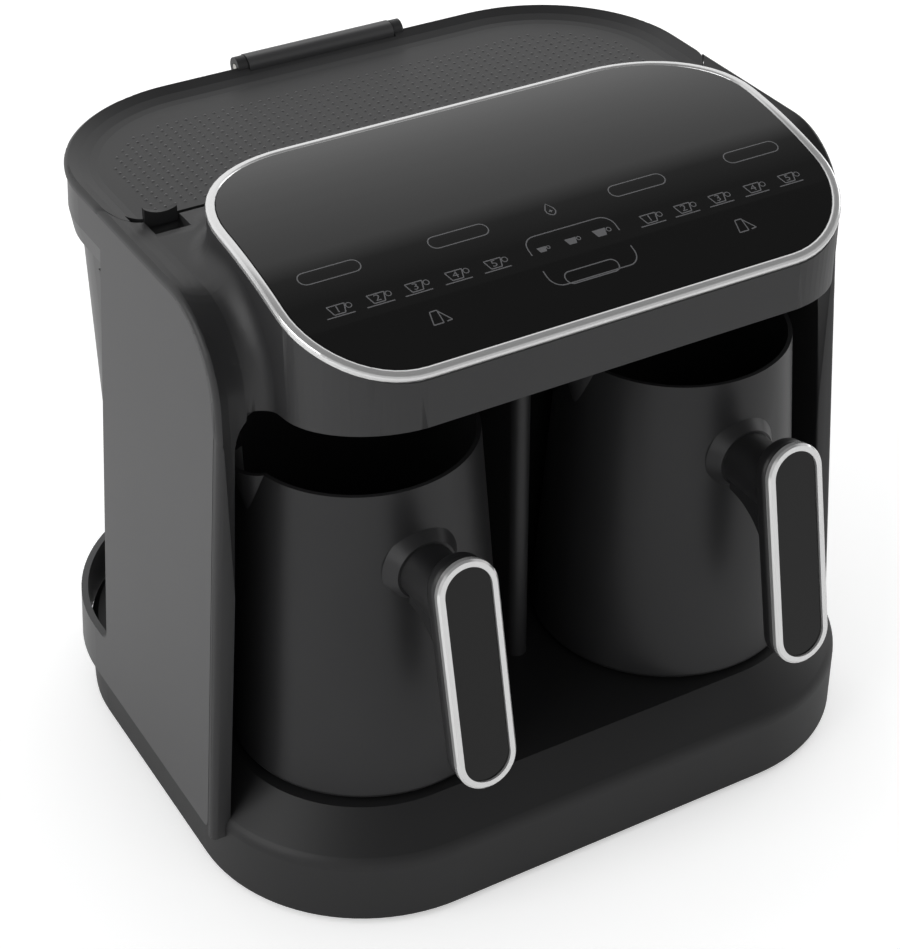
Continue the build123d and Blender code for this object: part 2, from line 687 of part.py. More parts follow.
with BuildPart() as cover_pair:
    add(skin_solid(0, COVER_FRONT_Y - 5, COVER_BOTTOM_Z, COVER_TOP_Z))
    add(skin_solid(COVER_WALL, COVER_FRONT_Y - 10, 0, COVER_TOP_Z + 20), mode=Mode.SUBTRACT)
    add(cover_profile, mode=Mode.INTERSECT)
    add(cover_window, mode=Mode.SUBTRACT)
    add(band_chamfer.part, mode=Mode.SUBTRACT)
    add(tank_passage, mode=Mode.SUBTRACT)
    add(
        block(-HINGE_GAP_HALF, HINGE_GAP_HALF, SKIN_REAR_Y - 30, REACH, window_bottom_z - 5, REACH),
        mode=Mode.SUBTRACT,
    )

for side, name in ((LEFT, "left_side_cover"), (RIGHT, "right_side_cover")):
    with BuildPart() as side_cover:
        add(cover_pair.part)
        keep = sorted((side * COVER_SEAM / 2, side * REACH))
        add(block(keep[0], keep[1], -REACH, REACH, -REACH, REACH), mode=Mode.INTERSECT)
    export(side_cover, name)

# ---------------------------------------------------------------- rear panel and its screws
PANEL_SCREW_HEAD_T = 1.2
rear_panel_inset = COVER_WALL + 2 * HOUSING_WALL + 2 * PANEL_GAP
with BuildPart() as rear_panel:
    loft(
        sections=[
            plan(z, skin_half_width(z, rear_panel_inset), HOUSING_REAR_Y - REAR_PANEL_T, HOUSING_REAR_Y)
            for z in (DECK_Z + 0.2, SERVICE_TOP_Z - PANEL_GAP)
        ],
        ruled=True,
    )
    with BuildSketch(Plane.XZ.offset(-HOUSING_REAR_Y)):
        with Locations(*SERVICE_BOSS_SPOTS):
            Circle(PLATE_SCREW_R + 0.2)
    extrude(amount=REAR_PANEL_T, mode=Mode.SUBTRACT)
    with BuildSketch(Plane.XZ.offset(-HOUSING_REAR_Y)):
        with Locations(*SERVICE_BOSS_SPOTS):
            Circle(PLATE_SCREW_HEAD_R + 0.2)
    extrude(amount=PANEL_SCREW_HEAD_T, mode=Mode.SUBTRACT)
export(rear_panel, "rear_panel")

with BuildPart() as rear_panel_screws:
    with BuildSketch(Plane.XZ.offset(-HOUSING_REAR_Y)):
        with Locations(*SERVICE_BOSS_SPOTS):
            Circle(PLATE_SCREW_HEAD_R)
    extrude(amount=PANEL_SCREW_HEAD_T)
    with BuildSketch(Plane.XZ.offset(-HOUSING_REAR_Y)):
        with Locations(*SERVICE_BOSS_SPOTS):
            Circle(PLATE_SCREW_R)
    extrude(amount=10)
    with BuildSketch(Plane.XZ.offset(-HOUSING_REAR_Y)):
        with Locations(*SERVICE_BOSS_SPOTS):
            Rectangle(3.2, 0.8)
            Rectangle(0.8, 3.2)
    extrude(amount=0.7, mode=Mode.SUBTRACT)
export(rear_panel_screws, "rear_panel_screws")

# ---------------------------------------------------------------- control panel
RING_SKIRT_OUT = POD_OUT - POD_WALL - PANEL_GAP
GLASS_BOTTOM = GLASS_DROP + GLASS_T
with BuildPart() as panel_trim_ring:
    extrude(panel_outline(RING_OUT, 0), amount=-RING_HEIGHT)
    chamfer(panel_trim_ring.faces().sort_by(Axis.Z)[-1].edges(), RING_BEVEL)
    extrude(panel_outline(RING_SKIRT_OUT, 0.5), amount=-(GLASS_BOTTOM + RING_SKIRT - 0.5))
    extrude(panel_outline(-RING_OUT, 0), amount=-GLASS_BOTTOM, mode=Mode.SUBTRACT)
    extrude(panel_outline(-RING_OUT - RING_LEDGE, 0), amount=-10, mode=Mode.SUBTRACT)
    inner_rim = [
        edge for edge in panel_trim_ring.edges()
        if abs(PANEL_PLANE.to_local_coords(edge.center()).Z) < 0.01
        and edge.length > 1
        and abs(PANEL_PLANE.to_local_coords(edge.center()).X) < PANEL_HALF_WIDTH - RING_OUT + 0.01
        and -0.01 + RING_OUT < PANEL_PLANE.to_local_coords(edge.center()).Y
        < PANEL_LENGTH - RING_OUT + 0.01
    ]
    chamfer(inner_rim, RING_BEVEL)
export(panel_trim_ring, "panel_trim_ring")

with BuildPart() as control_glass:
    extrude(panel_outline(-RING_OUT - 0.1, GLASS_DROP), amount=-GLASS_T)
export(control_glass, "control_glass")

BOARD_PLANE = PANEL_PLANE.offset(-CONTROL_BOARD_DEPTH)
with BuildPart() as control_board:
    with BuildSketch(BOARD_PLANE):
        with Locations((0, 44)):
            Rectangle(168, 60)
    extrude(amount=CONTROL_BOARD_T)
    # Display block, touch controller and a row of touch pads on the upper face
    with BuildSketch(BOARD_PLANE.offset(CONTROL_BOARD_T)):
        with Locations((0, 34)):
            Rectangle(40, 26)
        with Locations((-30, 60), (30, 60)):
            Rectangle(12, 12)
        with GridLocations(14, 1, 5, 1):
            with Locations((-57, 38), (57, 38)):
                Rectangle(9, 9)
    extrude(amount=2.4)
    for spot in CONTROL_BOARD_SPOTS:
        with Locations(Location((spot[0], spot[1], BAY_ROOF_Z + 60))):
            Cylinder(1.4, 120, mode=Mode.SUBTRACT)
export(control_board, "control_board")

# ---------------------------------------------------------------- water tank
with BuildPart() as water_tank:
    loft(sections=[tank_section(TANK_BOTTOM_Z, TANK_DRAFT), tank_section(TANK_TOP_Z, 0)], ruled=True)
    chamfer(water_tank.faces().sort_by(Axis.Z)[0].edges(), 2.5)
    loft(
        sections=[
            tank_section(TANK_BOTTOM_Z + TANK_WALL, TANK_DRAFT + TANK_WALL),
            tank_section(TANK_TOP_Z + 0.01, TANK_WALL),
        ],
        ruled=True, mode=Mode.SUBTRACT,
    )
    with Locations((0, VALVE_Y, TANK_BOTTOM_Z + TANK_WALL)):
        Hole(VALVE_R + 0.05, depth=3 * TANK_WALL)
export(water_tank, "water_tank")

# ---------------------------------------------------------------- lid hinge and lid
AXIS_Y = HINGE_FRONT_Y + HINGE_DEPTH / 2
AXIS_Z = TOP_Z - HINGE_AXIS_DROP
HINGE_TOP_Z = TOP_Z + HINGE_RISE
NOTCH_Y = HINGE_FRONT_Y - HINGE_NOTCH_GAP
HINGE_FOOT_HALF = HINGE_GAP_HALF - 0.4
hinge_foot_z = TANK_TOP_Z - 20

with BuildPart() as hinge_block:
    # Foot against the tank's rear wall, flush with the band of the covers
    loft(
        sections=[
            plan(z, HINGE_FOOT_HALF, TANK_REAR_Y, skin_rear(z))
            for z in (hinge_foot_z, TANK_TOP_Z)
        ],
        ruled=True,
    )
    with BuildSketch(Plane.YZ) as hinge_side:
        with BuildLine():
            Polyline(
                (TANK_REAR_Y, TANK_TOP_Z - 6), (TANK_REAR_Y, TANK_TOP_Z), (HINGE_FRONT_Y, LID_BOTTOM_Z),
                (HINGE_FRONT_Y, HINGE_TOP_Z), (HINGE_FRONT_Y + HINGE_DEPTH, HINGE_TOP_Z),
                (HINGE_FRONT_Y + HINGE_DEPTH, AXIS_Z - KNUCKLE_R), (skin_rear(TANK_TOP_Z), TANK_TOP_Z - 6),
                close=True,
            )
        make_face()
        fillet(hinge_side.vertices().group_by(Axis.Y)[-1], 0.92 * KNUCKLE_R)
    extrude(amount=HINGE_HALF_WIDTH, both=True)
    with Locations(Location((0, AXIS_Y, AXIS_Z), (0, 90, 0))):
        Cylinder(HINGE_PIN_R, 4 * HINGE_HALF_WIDTH, mode=Mode.SUBTRACT)
export(hinge_block, "hinge_block")

with BuildPart() as lid_hinge_pin:
    with Locations(Location((0, AXIS_Y, AXIS_Z), (0, 90, 0))):
        Cylinder(HINGE_PIN_R, 2 * (HINGE_HALF_WIDTH + KNUCKLE_GAP + KNUCKLE_WIDTH))
export(lid_hinge_pin, "lid_hinge_pin")

lid_dish = stack(*[
    plan(TOP_Z - DISH_DEPTH * (1 - rise), RIM_HALF_WIDTH - DISH_WIDTH * share, LID_FRONT_Y - 60,
         LID_REAR_Y - DISH_WIDTH * share, 0, LID_REAR_R - DISH_WIDTH * share)
    for share, rise in VALLEY_STEPS + ((0.15, 1.2),)
])
tab_local_z = TOP_Z - DISH_DEPTH
with BuildPart() as tank_lid:
    extrude(
        plan(TOP_Z - RIM_HEIGHT, RIM_HALF_WIDTH, LID_FRONT_Y, LID_REAR_Y, LID_FRONT_R, LID_REAR_R),
        amount=RIM_HEIGHT,
    )
    rim_edges = [
        edge for edge in tank_lid.faces().sort_by(Axis.Z)[-1].edges()
        if edge.center().Y > LID_FRONT_Y + LID_FRONT_R
    ]
    fillet(rim_edges, RIM_EDGE_R)
    # Body below the rim, which drops between the bands of the covers
    extrude(
        plan(LID_BOTTOM_Z, RIM_HALF_WIDTH - LID_BODY_INSET, LID_FRONT_Y + 1.5,
             LID_REAR_Y - LID_BODY_INSET, LID_FRONT_R - 4, LID_REAR_R - LID_BODY_INSET),
        amount=TOP_Z - RIM_HEIGHT - LID_BOTTOM_Z + 0.5,
    )
    add(lid_dish, mode=Mode.SUBTRACT)
    # Finger tab with a scooped edge
    with BuildSketch(Plane.XZ.offset(-LID_FRONT_Y)):
        with BuildLine():
            Polyline(
                (TAB_X + TAB_WIDTH / 2, tab_local_z + TAB_RISE), (TAB_X + TAB_WIDTH / 2, LID_BOTTOM_Z),
                (TAB_X - TAB_WIDTH / 2, LID_BOTTOM_Z), (TAB_X - TAB_WIDTH / 2, tab_local_z + 1.5 * TAB_RISE),
            )
            ThreePointArc(
                (TAB_X - TAB_WIDTH / 2, tab_local_z + 1.5 * TAB_RISE),
                (TAB_X, tab_local_z + 0.7 * TAB_RISE),
                (TAB_X + TAB_WIDTH / 2, tab_local_z + TAB_RISE),
            )
        make_face()
    extrude(amount=-2.0)
    # Notch for the hinge block, and the two knuckles beside it
    add(
        block(-HINGE_HALF_WIDTH - KNUCKLE_GAP, HINGE_HALF_WIDTH + KNUCKLE_GAP, NOTCH_Y, REACH,
              0, REACH),
        mode=Mode.SUBTRACT,
    )
    for side in (LEFT, RIGHT):
        knuckle_x = side * (HINGE_HALF_WIDTH + KNUCKLE_GAP + KNUCKLE_WIDTH / 2)
        with Locations(Location((knuckle_x, AXIS_Y, AXIS_Z), (0, 90, 0))):
            Cylinder(KNUCKLE_R, KNUCKLE_WIDTH)
    with Locations(Location((0, AXIS_Y, AXIS_Z), (0, 90, 0))):
        Cylinder(HINGE_PIN_R + SLIDE_GAP, 4 * HINGE_HALF_WIDTH, mode=Mode.SUBTRACT)
export(tank_lid, "tank_lid")

# ---------------------------------------------------------------- tank valve and dock
valve_bottom_z = TANK_BOTTOM_Z - VALVE_LENGTH
valve_flange_z = TANK_BOTTOM_Z + TANK_WALL
valve_floor_z = valve_bottom_z + VALVE_WALL
VALVE_CAP_Z = valve_flange_z + 7.0
VALVE_BORE_R = VALVE_R - VALVE_WALL
ORIFICE_R = PLUNGER_R + 2.2
SEAL_T = 1.2
with BuildPart() as tank_valve_body:
    with BuildSketch(Plane.XY.offset(valve_bottom_z)):
        with Locations((0, VALVE_Y)):
            Circle(VALVE_R)
    extrude(amount=VALVE_CAP_Z - valve_bottom_z)
    with BuildSketch(Plane.XY.offset(valve_flange_z)):
        with Locations((0, VALVE_Y)):
            Circle(VALVE_FLANGE_R)
    extrude(amount=VALVE_FLANGE_T)
    with BuildSketch(Plane.XY.offset(valve_floor_z)):
        with Locations((0, VALVE_Y)):
            Circle(VALVE_BORE_R)
    extrude(amount=VALVE_CAP_Z - VALVE_WALL - valve_floor_z, mode=Mode.SUBTRACT)
    with BuildSketch(Plane.XY.offset(valve_bottom_z)):
        with Locations((0, VALVE_Y)):
            Circle(ORIFICE_R)
    extrude(amount=VALVE_WALL, mode=Mode.SUBTRACT)
    with BuildSketch(Plane.XY.offset(VALVE_CAP_Z - VALVE_WALL)):
        with Locations((0, VALVE_Y)):
            Circle(PLUNGER_R + SLIDE_GAP)
    extrude(amount=VALVE_WALL, mode=Mode.SUBTRACT)
    # Windows in the cage that let the water in
    with Locations((0, VALVE_Y, valve_flange_z + 3.6)):
        Box(3 * VALVE_R, 3.0, 2.6, mode=Mode.SUBTRACT)
        Box(3.0, 3 * VALVE_R, 2.6, mode=Mode.SUBTRACT)
export(tank_valve_body, "tank_valve_body")

seal_top_z = valve_floor_z + SEAL_T
plunger_head_z = seal_top_z + SEAT_GAP
PLUNGER_HEAD_T = 1.8
with BuildPart() as valve_seal:
    with BuildSketch(Plane.XY.offset(valve_floor_z)):
        with Locations((0, VALVE_Y)):
            Circle(VALVE_BORE_R - 0.1)
            Circle(ORIFICE_R, mode=Mode.SUBTRACT)
    extrude(amount=SEAL_T)
export(valve_seal, "valve_seal")

plunger_bottom_z = valve_bottom_z + 0.2
with BuildPart() as valve_plunger:
    with BuildSketch(Plane.XY.offset(plunger_bottom_z)):
        with Locations((0, VALVE_Y)):
            Circle(PLUNGER_R)
    extrude(amount=VALVE_CAP_Z + 1.0 - plunger_bottom_z)
    with BuildSketch(Plane.XY.offset(plunger_head_z)):
        with Locations((0, VALVE_Y)):
            Circle(PLUNGER_HEAD_R)
    extrude(amount=PLUNGER_HEAD_T)
export(valve_plunger, "valve_plunger")

spring_bottom_z = plunger_head_z + PLUNGER_HEAD_T
SPRING_WIRE_R = 0.4
SPRING_R = 4.2
spring_height = VALVE_CAP_Z - VALVE_WALL - spring_bottom_z - 2 * SPRING_WIRE_R - 0.2
with BuildPart() as valve_spring:
    with BuildLine() as coil:
        Helix(
            pitch=spring_height / 4, height=spring_height, radius=SPRING_R,
            center=(0, VALVE_Y, spring_bottom_z + SPRING_WIRE_R + 0.1),
        )
    with BuildSketch(Plane(origin=coil.line @ 0, z_dir=coil.line % 0)):
        Circle(SPRING_WIRE_R)
    sweep(path=coil.line, is_frenet=True)
export(valve_spring, "valve_spring")

dock_flange_top_z = TANK_BOTTOM_Z - SEAT_GAP
dock_bottom_z = dock_flange_top_z - DOCK_DEPTH
DOCK_BORE_R = VALVE_R + DOCK_CLEARANCE
DOCK_PORT_X = 5.0
DOCK_PORT_R = 1.6
DOCK_PORT_Z = dock_bottom_z + DOCK_WALL + DOCK_PORT_R + 0.6
HOSE_BORE_R = HOSE_R - HOSE_WALL
with BuildPart() as tank_dock:
    with BuildSketch(Plane.XY.offset(TROUGH_Z)):
        with Locations((0, VALVE_Y)):
            Circle(DOCK_FLANGE_R)
    extrude(amount=dock_flange_top_z - TROUGH_Z)
    with BuildSketch(Plane.XY.offset(dock_bottom_z)):
        with Locations((0, VALVE_Y)):
            Circle(DOCK_BORE_R + DOCK_WALL)
    extrude(amount=dock_flange_top_z - dock_bottom_z)
    for side in (LEFT, RIGHT):
        with Locations(
            Location((side * DOCK_PORT_X, VALVE_Y - DOCK_BORE_R - 3.0, DOCK_PORT_Z), (90, 0, 0))
        ):
            Cylinder(DOCK_PORT_R, 12.0)
    with BuildSketch(Plane.XY.offset(dock_bottom_z + DOCK_WALL)):
        with Locations((0, VALVE_Y)):
            Circle(DOCK_BORE_R)
    extrude(amount=DOCK_DEPTH, mode=Mode.SUBTRACT)
    # Pin that lifts the plunger
    with BuildSketch(Plane.XY.offset(dock_bottom_z)):
        with Locations((0, VALVE_Y)):
            Circle(PLUNGER_R - 0.4)
    extrude(amount=plunger_bottom_z - SEAT_GAP - dock_bottom_z)
export(tank_dock, "tank_dock")

with BuildPart() as dock_seal:
    with BuildSketch(Plane.XY.offset(valve_bottom_z + 3.0)):
        with Locations((0, VALVE_Y)):
            Circle(DOCK_BORE_R)
            Circle(VALVE_R + SEAT_GAP, mode=Mode.SUBTRACT)
    extrude(amount=2.0)
export(dock_seal, "dock_seal")

# ---------------------------------------------------------------- pumps, hoses and nozzles
PUMP_TOP_Z = PUMP_BOTTOM_Z + PUMP_LENGTH
PORT_LENGTH = 6.0
CLIP_WALL = 1.4


def hose(points, radii):
    """Tube along straight runs and arcs."""
    with BuildPart() as tube:
        with BuildLine() as route:
            FilletPolyline(*points, radius=radii)
        with BuildSketch(Plane(origin=route.line @ 0, z_dir=route.line % 0)):
            Circle(HOSE_R)
            Circle(HOSE_BORE_R + 0.05, mode=Mode.SUBTRACT)
        sweep(path=route.line)
    return tube.part


for side, word in ((LEFT, "left"), (RIGHT, "right")):
    pump_x = side * PUMP_X
    with BuildPart() as pump:
        with BuildSketch(Plane.XY.offset(PUMP_BOTTOM_Z)):
            with Locations((pump_x, PUMP_Y)):
                Circle(PUMP_R - 1)
        extrude(amount=PUMP_LENGTH)
        with BuildSketch(Plane.XY.offset(PUMP_BOTTOM_Z + 12)):
            with Locations((pump_x, PUMP_Y)):
                Circle(PUMP_R)
        extrude(amount=PUMP_LENGTH - 18)
        with BuildSketch(Plane.XY.offset(PUMP_BOTTOM_Z - PORT_LENGTH)):
            with Locations((pump_x, PUMP_Y)):
                Circle(HOSE_BORE_R)
        extrude(amount=PUMP_LENGTH + 2 * PORT_LENGTH)
    export(pump, f"{word}_pump")

    with BuildPart() as pump_bracket:
        with BuildSketch(Plane.XY.offset(PUMP_BOTTOM_Z + 20)):
            with Locations((pump_x, SERVICE_FRONT_Y + CLIP_WALL / 2)):
                Rectangle(30, CLIP_WALL)
            with Locations((pump_x, PUMP_Y)):
                Circle(PUMP_R + CLIP_WALL)
            with Locations((pump_x, (SERVICE_FRONT_Y + PUMP_Y) / 2)):
                Rectangle(2 * CLIP_WALL, PUMP_Y - SERVICE_FRONT_Y)
            with Locations((pump_x, PUMP_Y)):
                Circle(PUMP_R, mode=Mode.SUBTRACT)
        extrude(amount=14)
    export(pump_bracket, f"{word}_pump_bracket")

    port_y = VALVE_Y - DOCK_BORE_R - 6.0
    with BuildPart() as inlet_hose:
        add(hose(
            [(side * DOCK_PORT_X, port_y, DOCK_PORT_Z), (side * DOCK_PORT_X, PUMP_Y, DOCK_PORT_Z),
             (pump_x, PUMP_Y, DOCK_PORT_Z), (pump_x, PUMP_Y, PUMP_BOTTOM_Z - 0.5)],
            HOSE_BEND_R,
        ))
    export(inlet_hose, f"{word}_inlet_hose")

    nozzle_top_z = BAY_ROOF_Z + HOUSING_WALL + 12
    with BuildPart() as outlet_hose:
        add(hose(
            [(pump_x, PUMP_Y, PUMP_TOP_Z + 0.5), (pump_x, PUMP_Y, HOSE_DUCT_Z),
             (pump_x, POD_REAR_Y - 20, HOSE_DUCT_Z), (pump_x, POD_REAR_Y - 32, nozzle_top_z + 8),
             (pump_x, NOZZLE_Y, nozzle_top_z + 8), (pump_x, NOZZLE_Y, nozzle_top_z - 5)],
            6.0,
        ))
    export(outlet_hose, f"{word}_outlet_hose")

    with BuildPart() as water_nozzle:
        with BuildSketch(Plane.XY.offset(BAY_ROOF_Z - 6)):
            with Locations((pump_x, NOZZLE_Y)):
                Circle(NOZZLE_R)
        extrude(amount=6 + HOUSING_WALL + 1)
        with BuildSketch(Plane.XY.offset(BAY_ROOF_Z + HOUSING_WALL)):
            with Locations((pump_x, NOZZLE_Y)):
                Circle(NOZZLE_R + 2.5)
        extrude(amount=1.4)
        with BuildSketch(Plane.XY.offset(BAY_ROOF_Z + HOUSING_WALL)):
            with Locations((pump_x, NOZZLE_Y)):
                Circle(HOSE_BORE_R)
        extrude(amount=nozzle_top_z - BAY_ROOF_Z - HOUSING_WALL)
        chamfer(water_nozzle.faces().sort_by(Axis.Z)[0].edges(), 1.2)
        with Locations((pump_x, NOZZLE_Y, nozzle_top_z)):
            Hole(0.9, depth=REACH)
    export(water_nozzle, f"{word}_water_nozzle")

    with BuildPart() as foam_sensor:
        with BuildSketch(Plane.XY.offset(BAY_ROOF_Z - 2)):
            with Locations((side * SENSOR_X, NOZZLE_Y)):
                Circle(SENSOR_R)
        extrude(amount=2 + HOUSING_WALL + 6)
        with BuildSketch(Plane.XY.offset(BAY_ROOF_Z + HOUSING_WALL)):
            with Locations((side * SENSOR_X, NOZZLE_Y)):
                Rectangle(4 * SENSOR_R, 3 * SENSOR_R)
        extrude(amount=1.6)
        fillet(foam_sensor.faces().sort_by(Axis.Z)[0].edges(), 1.5)
    export(foam_sensor, f"{word}_foam_sensor")

    # Connector on the rear wall of the bay
    with BuildPart() as pot_connector:
        connector_mid_z = CONNECTOR_Z + CONNECTOR_HEIGHT / 2
        with Locations((side * POT_X, BAY_REAR_Y - CONNECTOR_REACH / 2, connector_mid_z)):
            Box(2 * CONNECTOR_HALF_WIDTH, CONNECTOR_REACH, CONNECTOR_HEIGHT)
        fillet(pot_connector.edges().filter_by(Axis.Y), 1.2)
        with Locations((side * POT_X, BAY_REAR_Y - 0.8, connector_mid_z)):
            Box(2 * CONNECTOR_HALF_WIDTH + 8, 1.6, CONNECTOR_HEIGHT + 5)
        with Locations(
            Location((side * POT_X, BAY_REAR_Y - CONNECTOR_REACH, connector_mid_z), (90, 0, 0))
        ):
            with GridLocations(5, 1, 3, 1):
                Box(1.2, 4.0, 6.0, mode=Mode.SUBTRACT)
    export(pot_connector, f"{word}_pot_connector")

with BuildPart() as power_board:
    board_y = SERVICE_FRONT_Y + 4
    with Locations((0, board_y + 0.8, (PUMP_BOTTOM_Z + SERVICE_TOP_Z) / 2 + 6)):
        Box(60, 1.6, 84)
    with Locations((-14, board_y + 6, 150), (12, board_y + 5.5, 128)):
        Box(22, 10, 24)
    with Locations(Location((14, board_y + 7.5, 168), (90, 0, 0))):
        Cylinder(6, 13)
    with GridLocations(50, 1, 2, 1):
        with Locations((0, board_y - 2, 112), (0, board_y - 2, 180)):
            Box(5, 4, 5)
export(power_board, "power_board")

with BuildPart() as cord_gland:
    with BuildSketch(Plane.XZ.offset(-BASE_REAR_Y - 2.0)):
        with Locations((0, 14)):
            Circle(7.0)
    extrude(amount=2.0)
    with BuildSketch(Plane.XZ.offset(-BASE_REAR_Y)):
        with Locations((0, 14)):
            Circle(4.9)
    extrude(amount=BASE_WALL + 8)
    with BuildSketch(Plane.XZ.offset(-BASE_REAR_Y + BASE_WALL)):
        with Locations((0, 14)):
            RegularPolygon(7.0, 6)
    extrude(amount=3.0)
    with BuildSketch(Plane.XZ.offset(-BASE_REAR_Y - 2.0)):
        with Locations((0, 14)):
            Circle(3.2)
    extrude(amount=BASE_WALL + 20, mode=Mode.SUBTRACT)
export(cord_gland, "cord_gland")

# ---------------------------------------------------------------- pots
POT_BOTTOM_Z = DECK_Z + POT_LIFT
POT_RIM_Z = POT_BOTTOM_Z + POT_HEIGHT
POT_TAPER = (POT_BASE_R - POT_RIM_R) / POT_HEIGHT
POT_FLOOR_Z = POT_BOTTOM_Z + POT_FLOOR_RISE


def pot_radius(z, inset=0.0):
    """Outer radius of the pot at a height."""
    return POT_BASE_R - POT_TAPER * (z - POT_BOTTOM_Z) - inset


def turned(points, radii, x):
    """Solid of revolution about a pot's axis, from (radius, height) points."""
    with BuildPart() as body:
        with BuildSketch(Plane(origin=(x, POT_Y, 0), x_dir=(1, 0, 0), z_dir=(0, -1, 0))) as outline:
            with BuildLine():
                Polyline(*points, close=True)
            make_face()
            for point, radius in zip(points, radii):
                if radius:
                    fillet(
                        outline.vertices().sort_by_distance(Vector(*point, 0))[0], radius
                    )
        revolve(axis=Axis((x, POT_Y, 0), (0, 0, 1)))
    return body.part


def round_stack(*sections):
    """Solid through circles given as (x, y, z, radius)."""
    outlines = []
    for x, y, z, radius in sections:
        with BuildSketch(Plane.XY.offset(z)) as disc:
            with Locations((x, y)):
                Circle(radius)
        outlines.append(disc.sketch)
    return stack(*outlines)


handle_up = Vector(0, sin(radians(HANDLE_TILT)), cos(radians(HANDLE_TILT)))
handle_mid_y = HANDLE_TOP_Y - handle_up.Y * HANDLE_LENGTH / 2
handle_mid_z = HANDLE_TOP_Z - handle_up.Z * HANDLE_LENGTH / 2
collar_face_y = POT_Y - pot_radius(HANDLE_BOSS_Z) - HANDLE_COLLAR_REACH
grip_back = HANDLE_RING_T + HANDLE_GRIP_T
SCREW_HEAD_Y = -106.0


def grip_back_y(z):
    """Rear face of the grip at a height, in the side view."""
    back_y = HANDLE_TOP_Y + grip_back / cos(radians(HANDLE_TILT))
    return back_y - (HANDLE_TOP_Z - z) * sin(radians(HANDLE_TILT)) / cos(radians(HANDLE_TILT))


boss_bottom_z = HANDLE_BOSS_Z - HANDLE_BOSS_R
web_corner = Vector(grip_back_y(boss_bottom_z), boss_bottom_z)
web_down = Vector(-sin(radians(HANDLE_TILT)), -cos(radians(HANDLE_TILT)))
web_back = Vector(1, 0)
web_middle = (web_down + web_back).normalized()
web_half_angle = radians(90 + HANDLE_TILT) / 2
web_centre = web_corner + web_middle * (HANDLE_WEB_R / sin(web_half_angle))
web_reach = HANDLE_WEB_R * cos(web_half_angle) / sin(web_half_angle)
web_start = web_corner + web_back * web_reach
web_end = web_corner + web_down * web_reach
web_mid = web_centre - web_middle * HANDLE_WEB_R

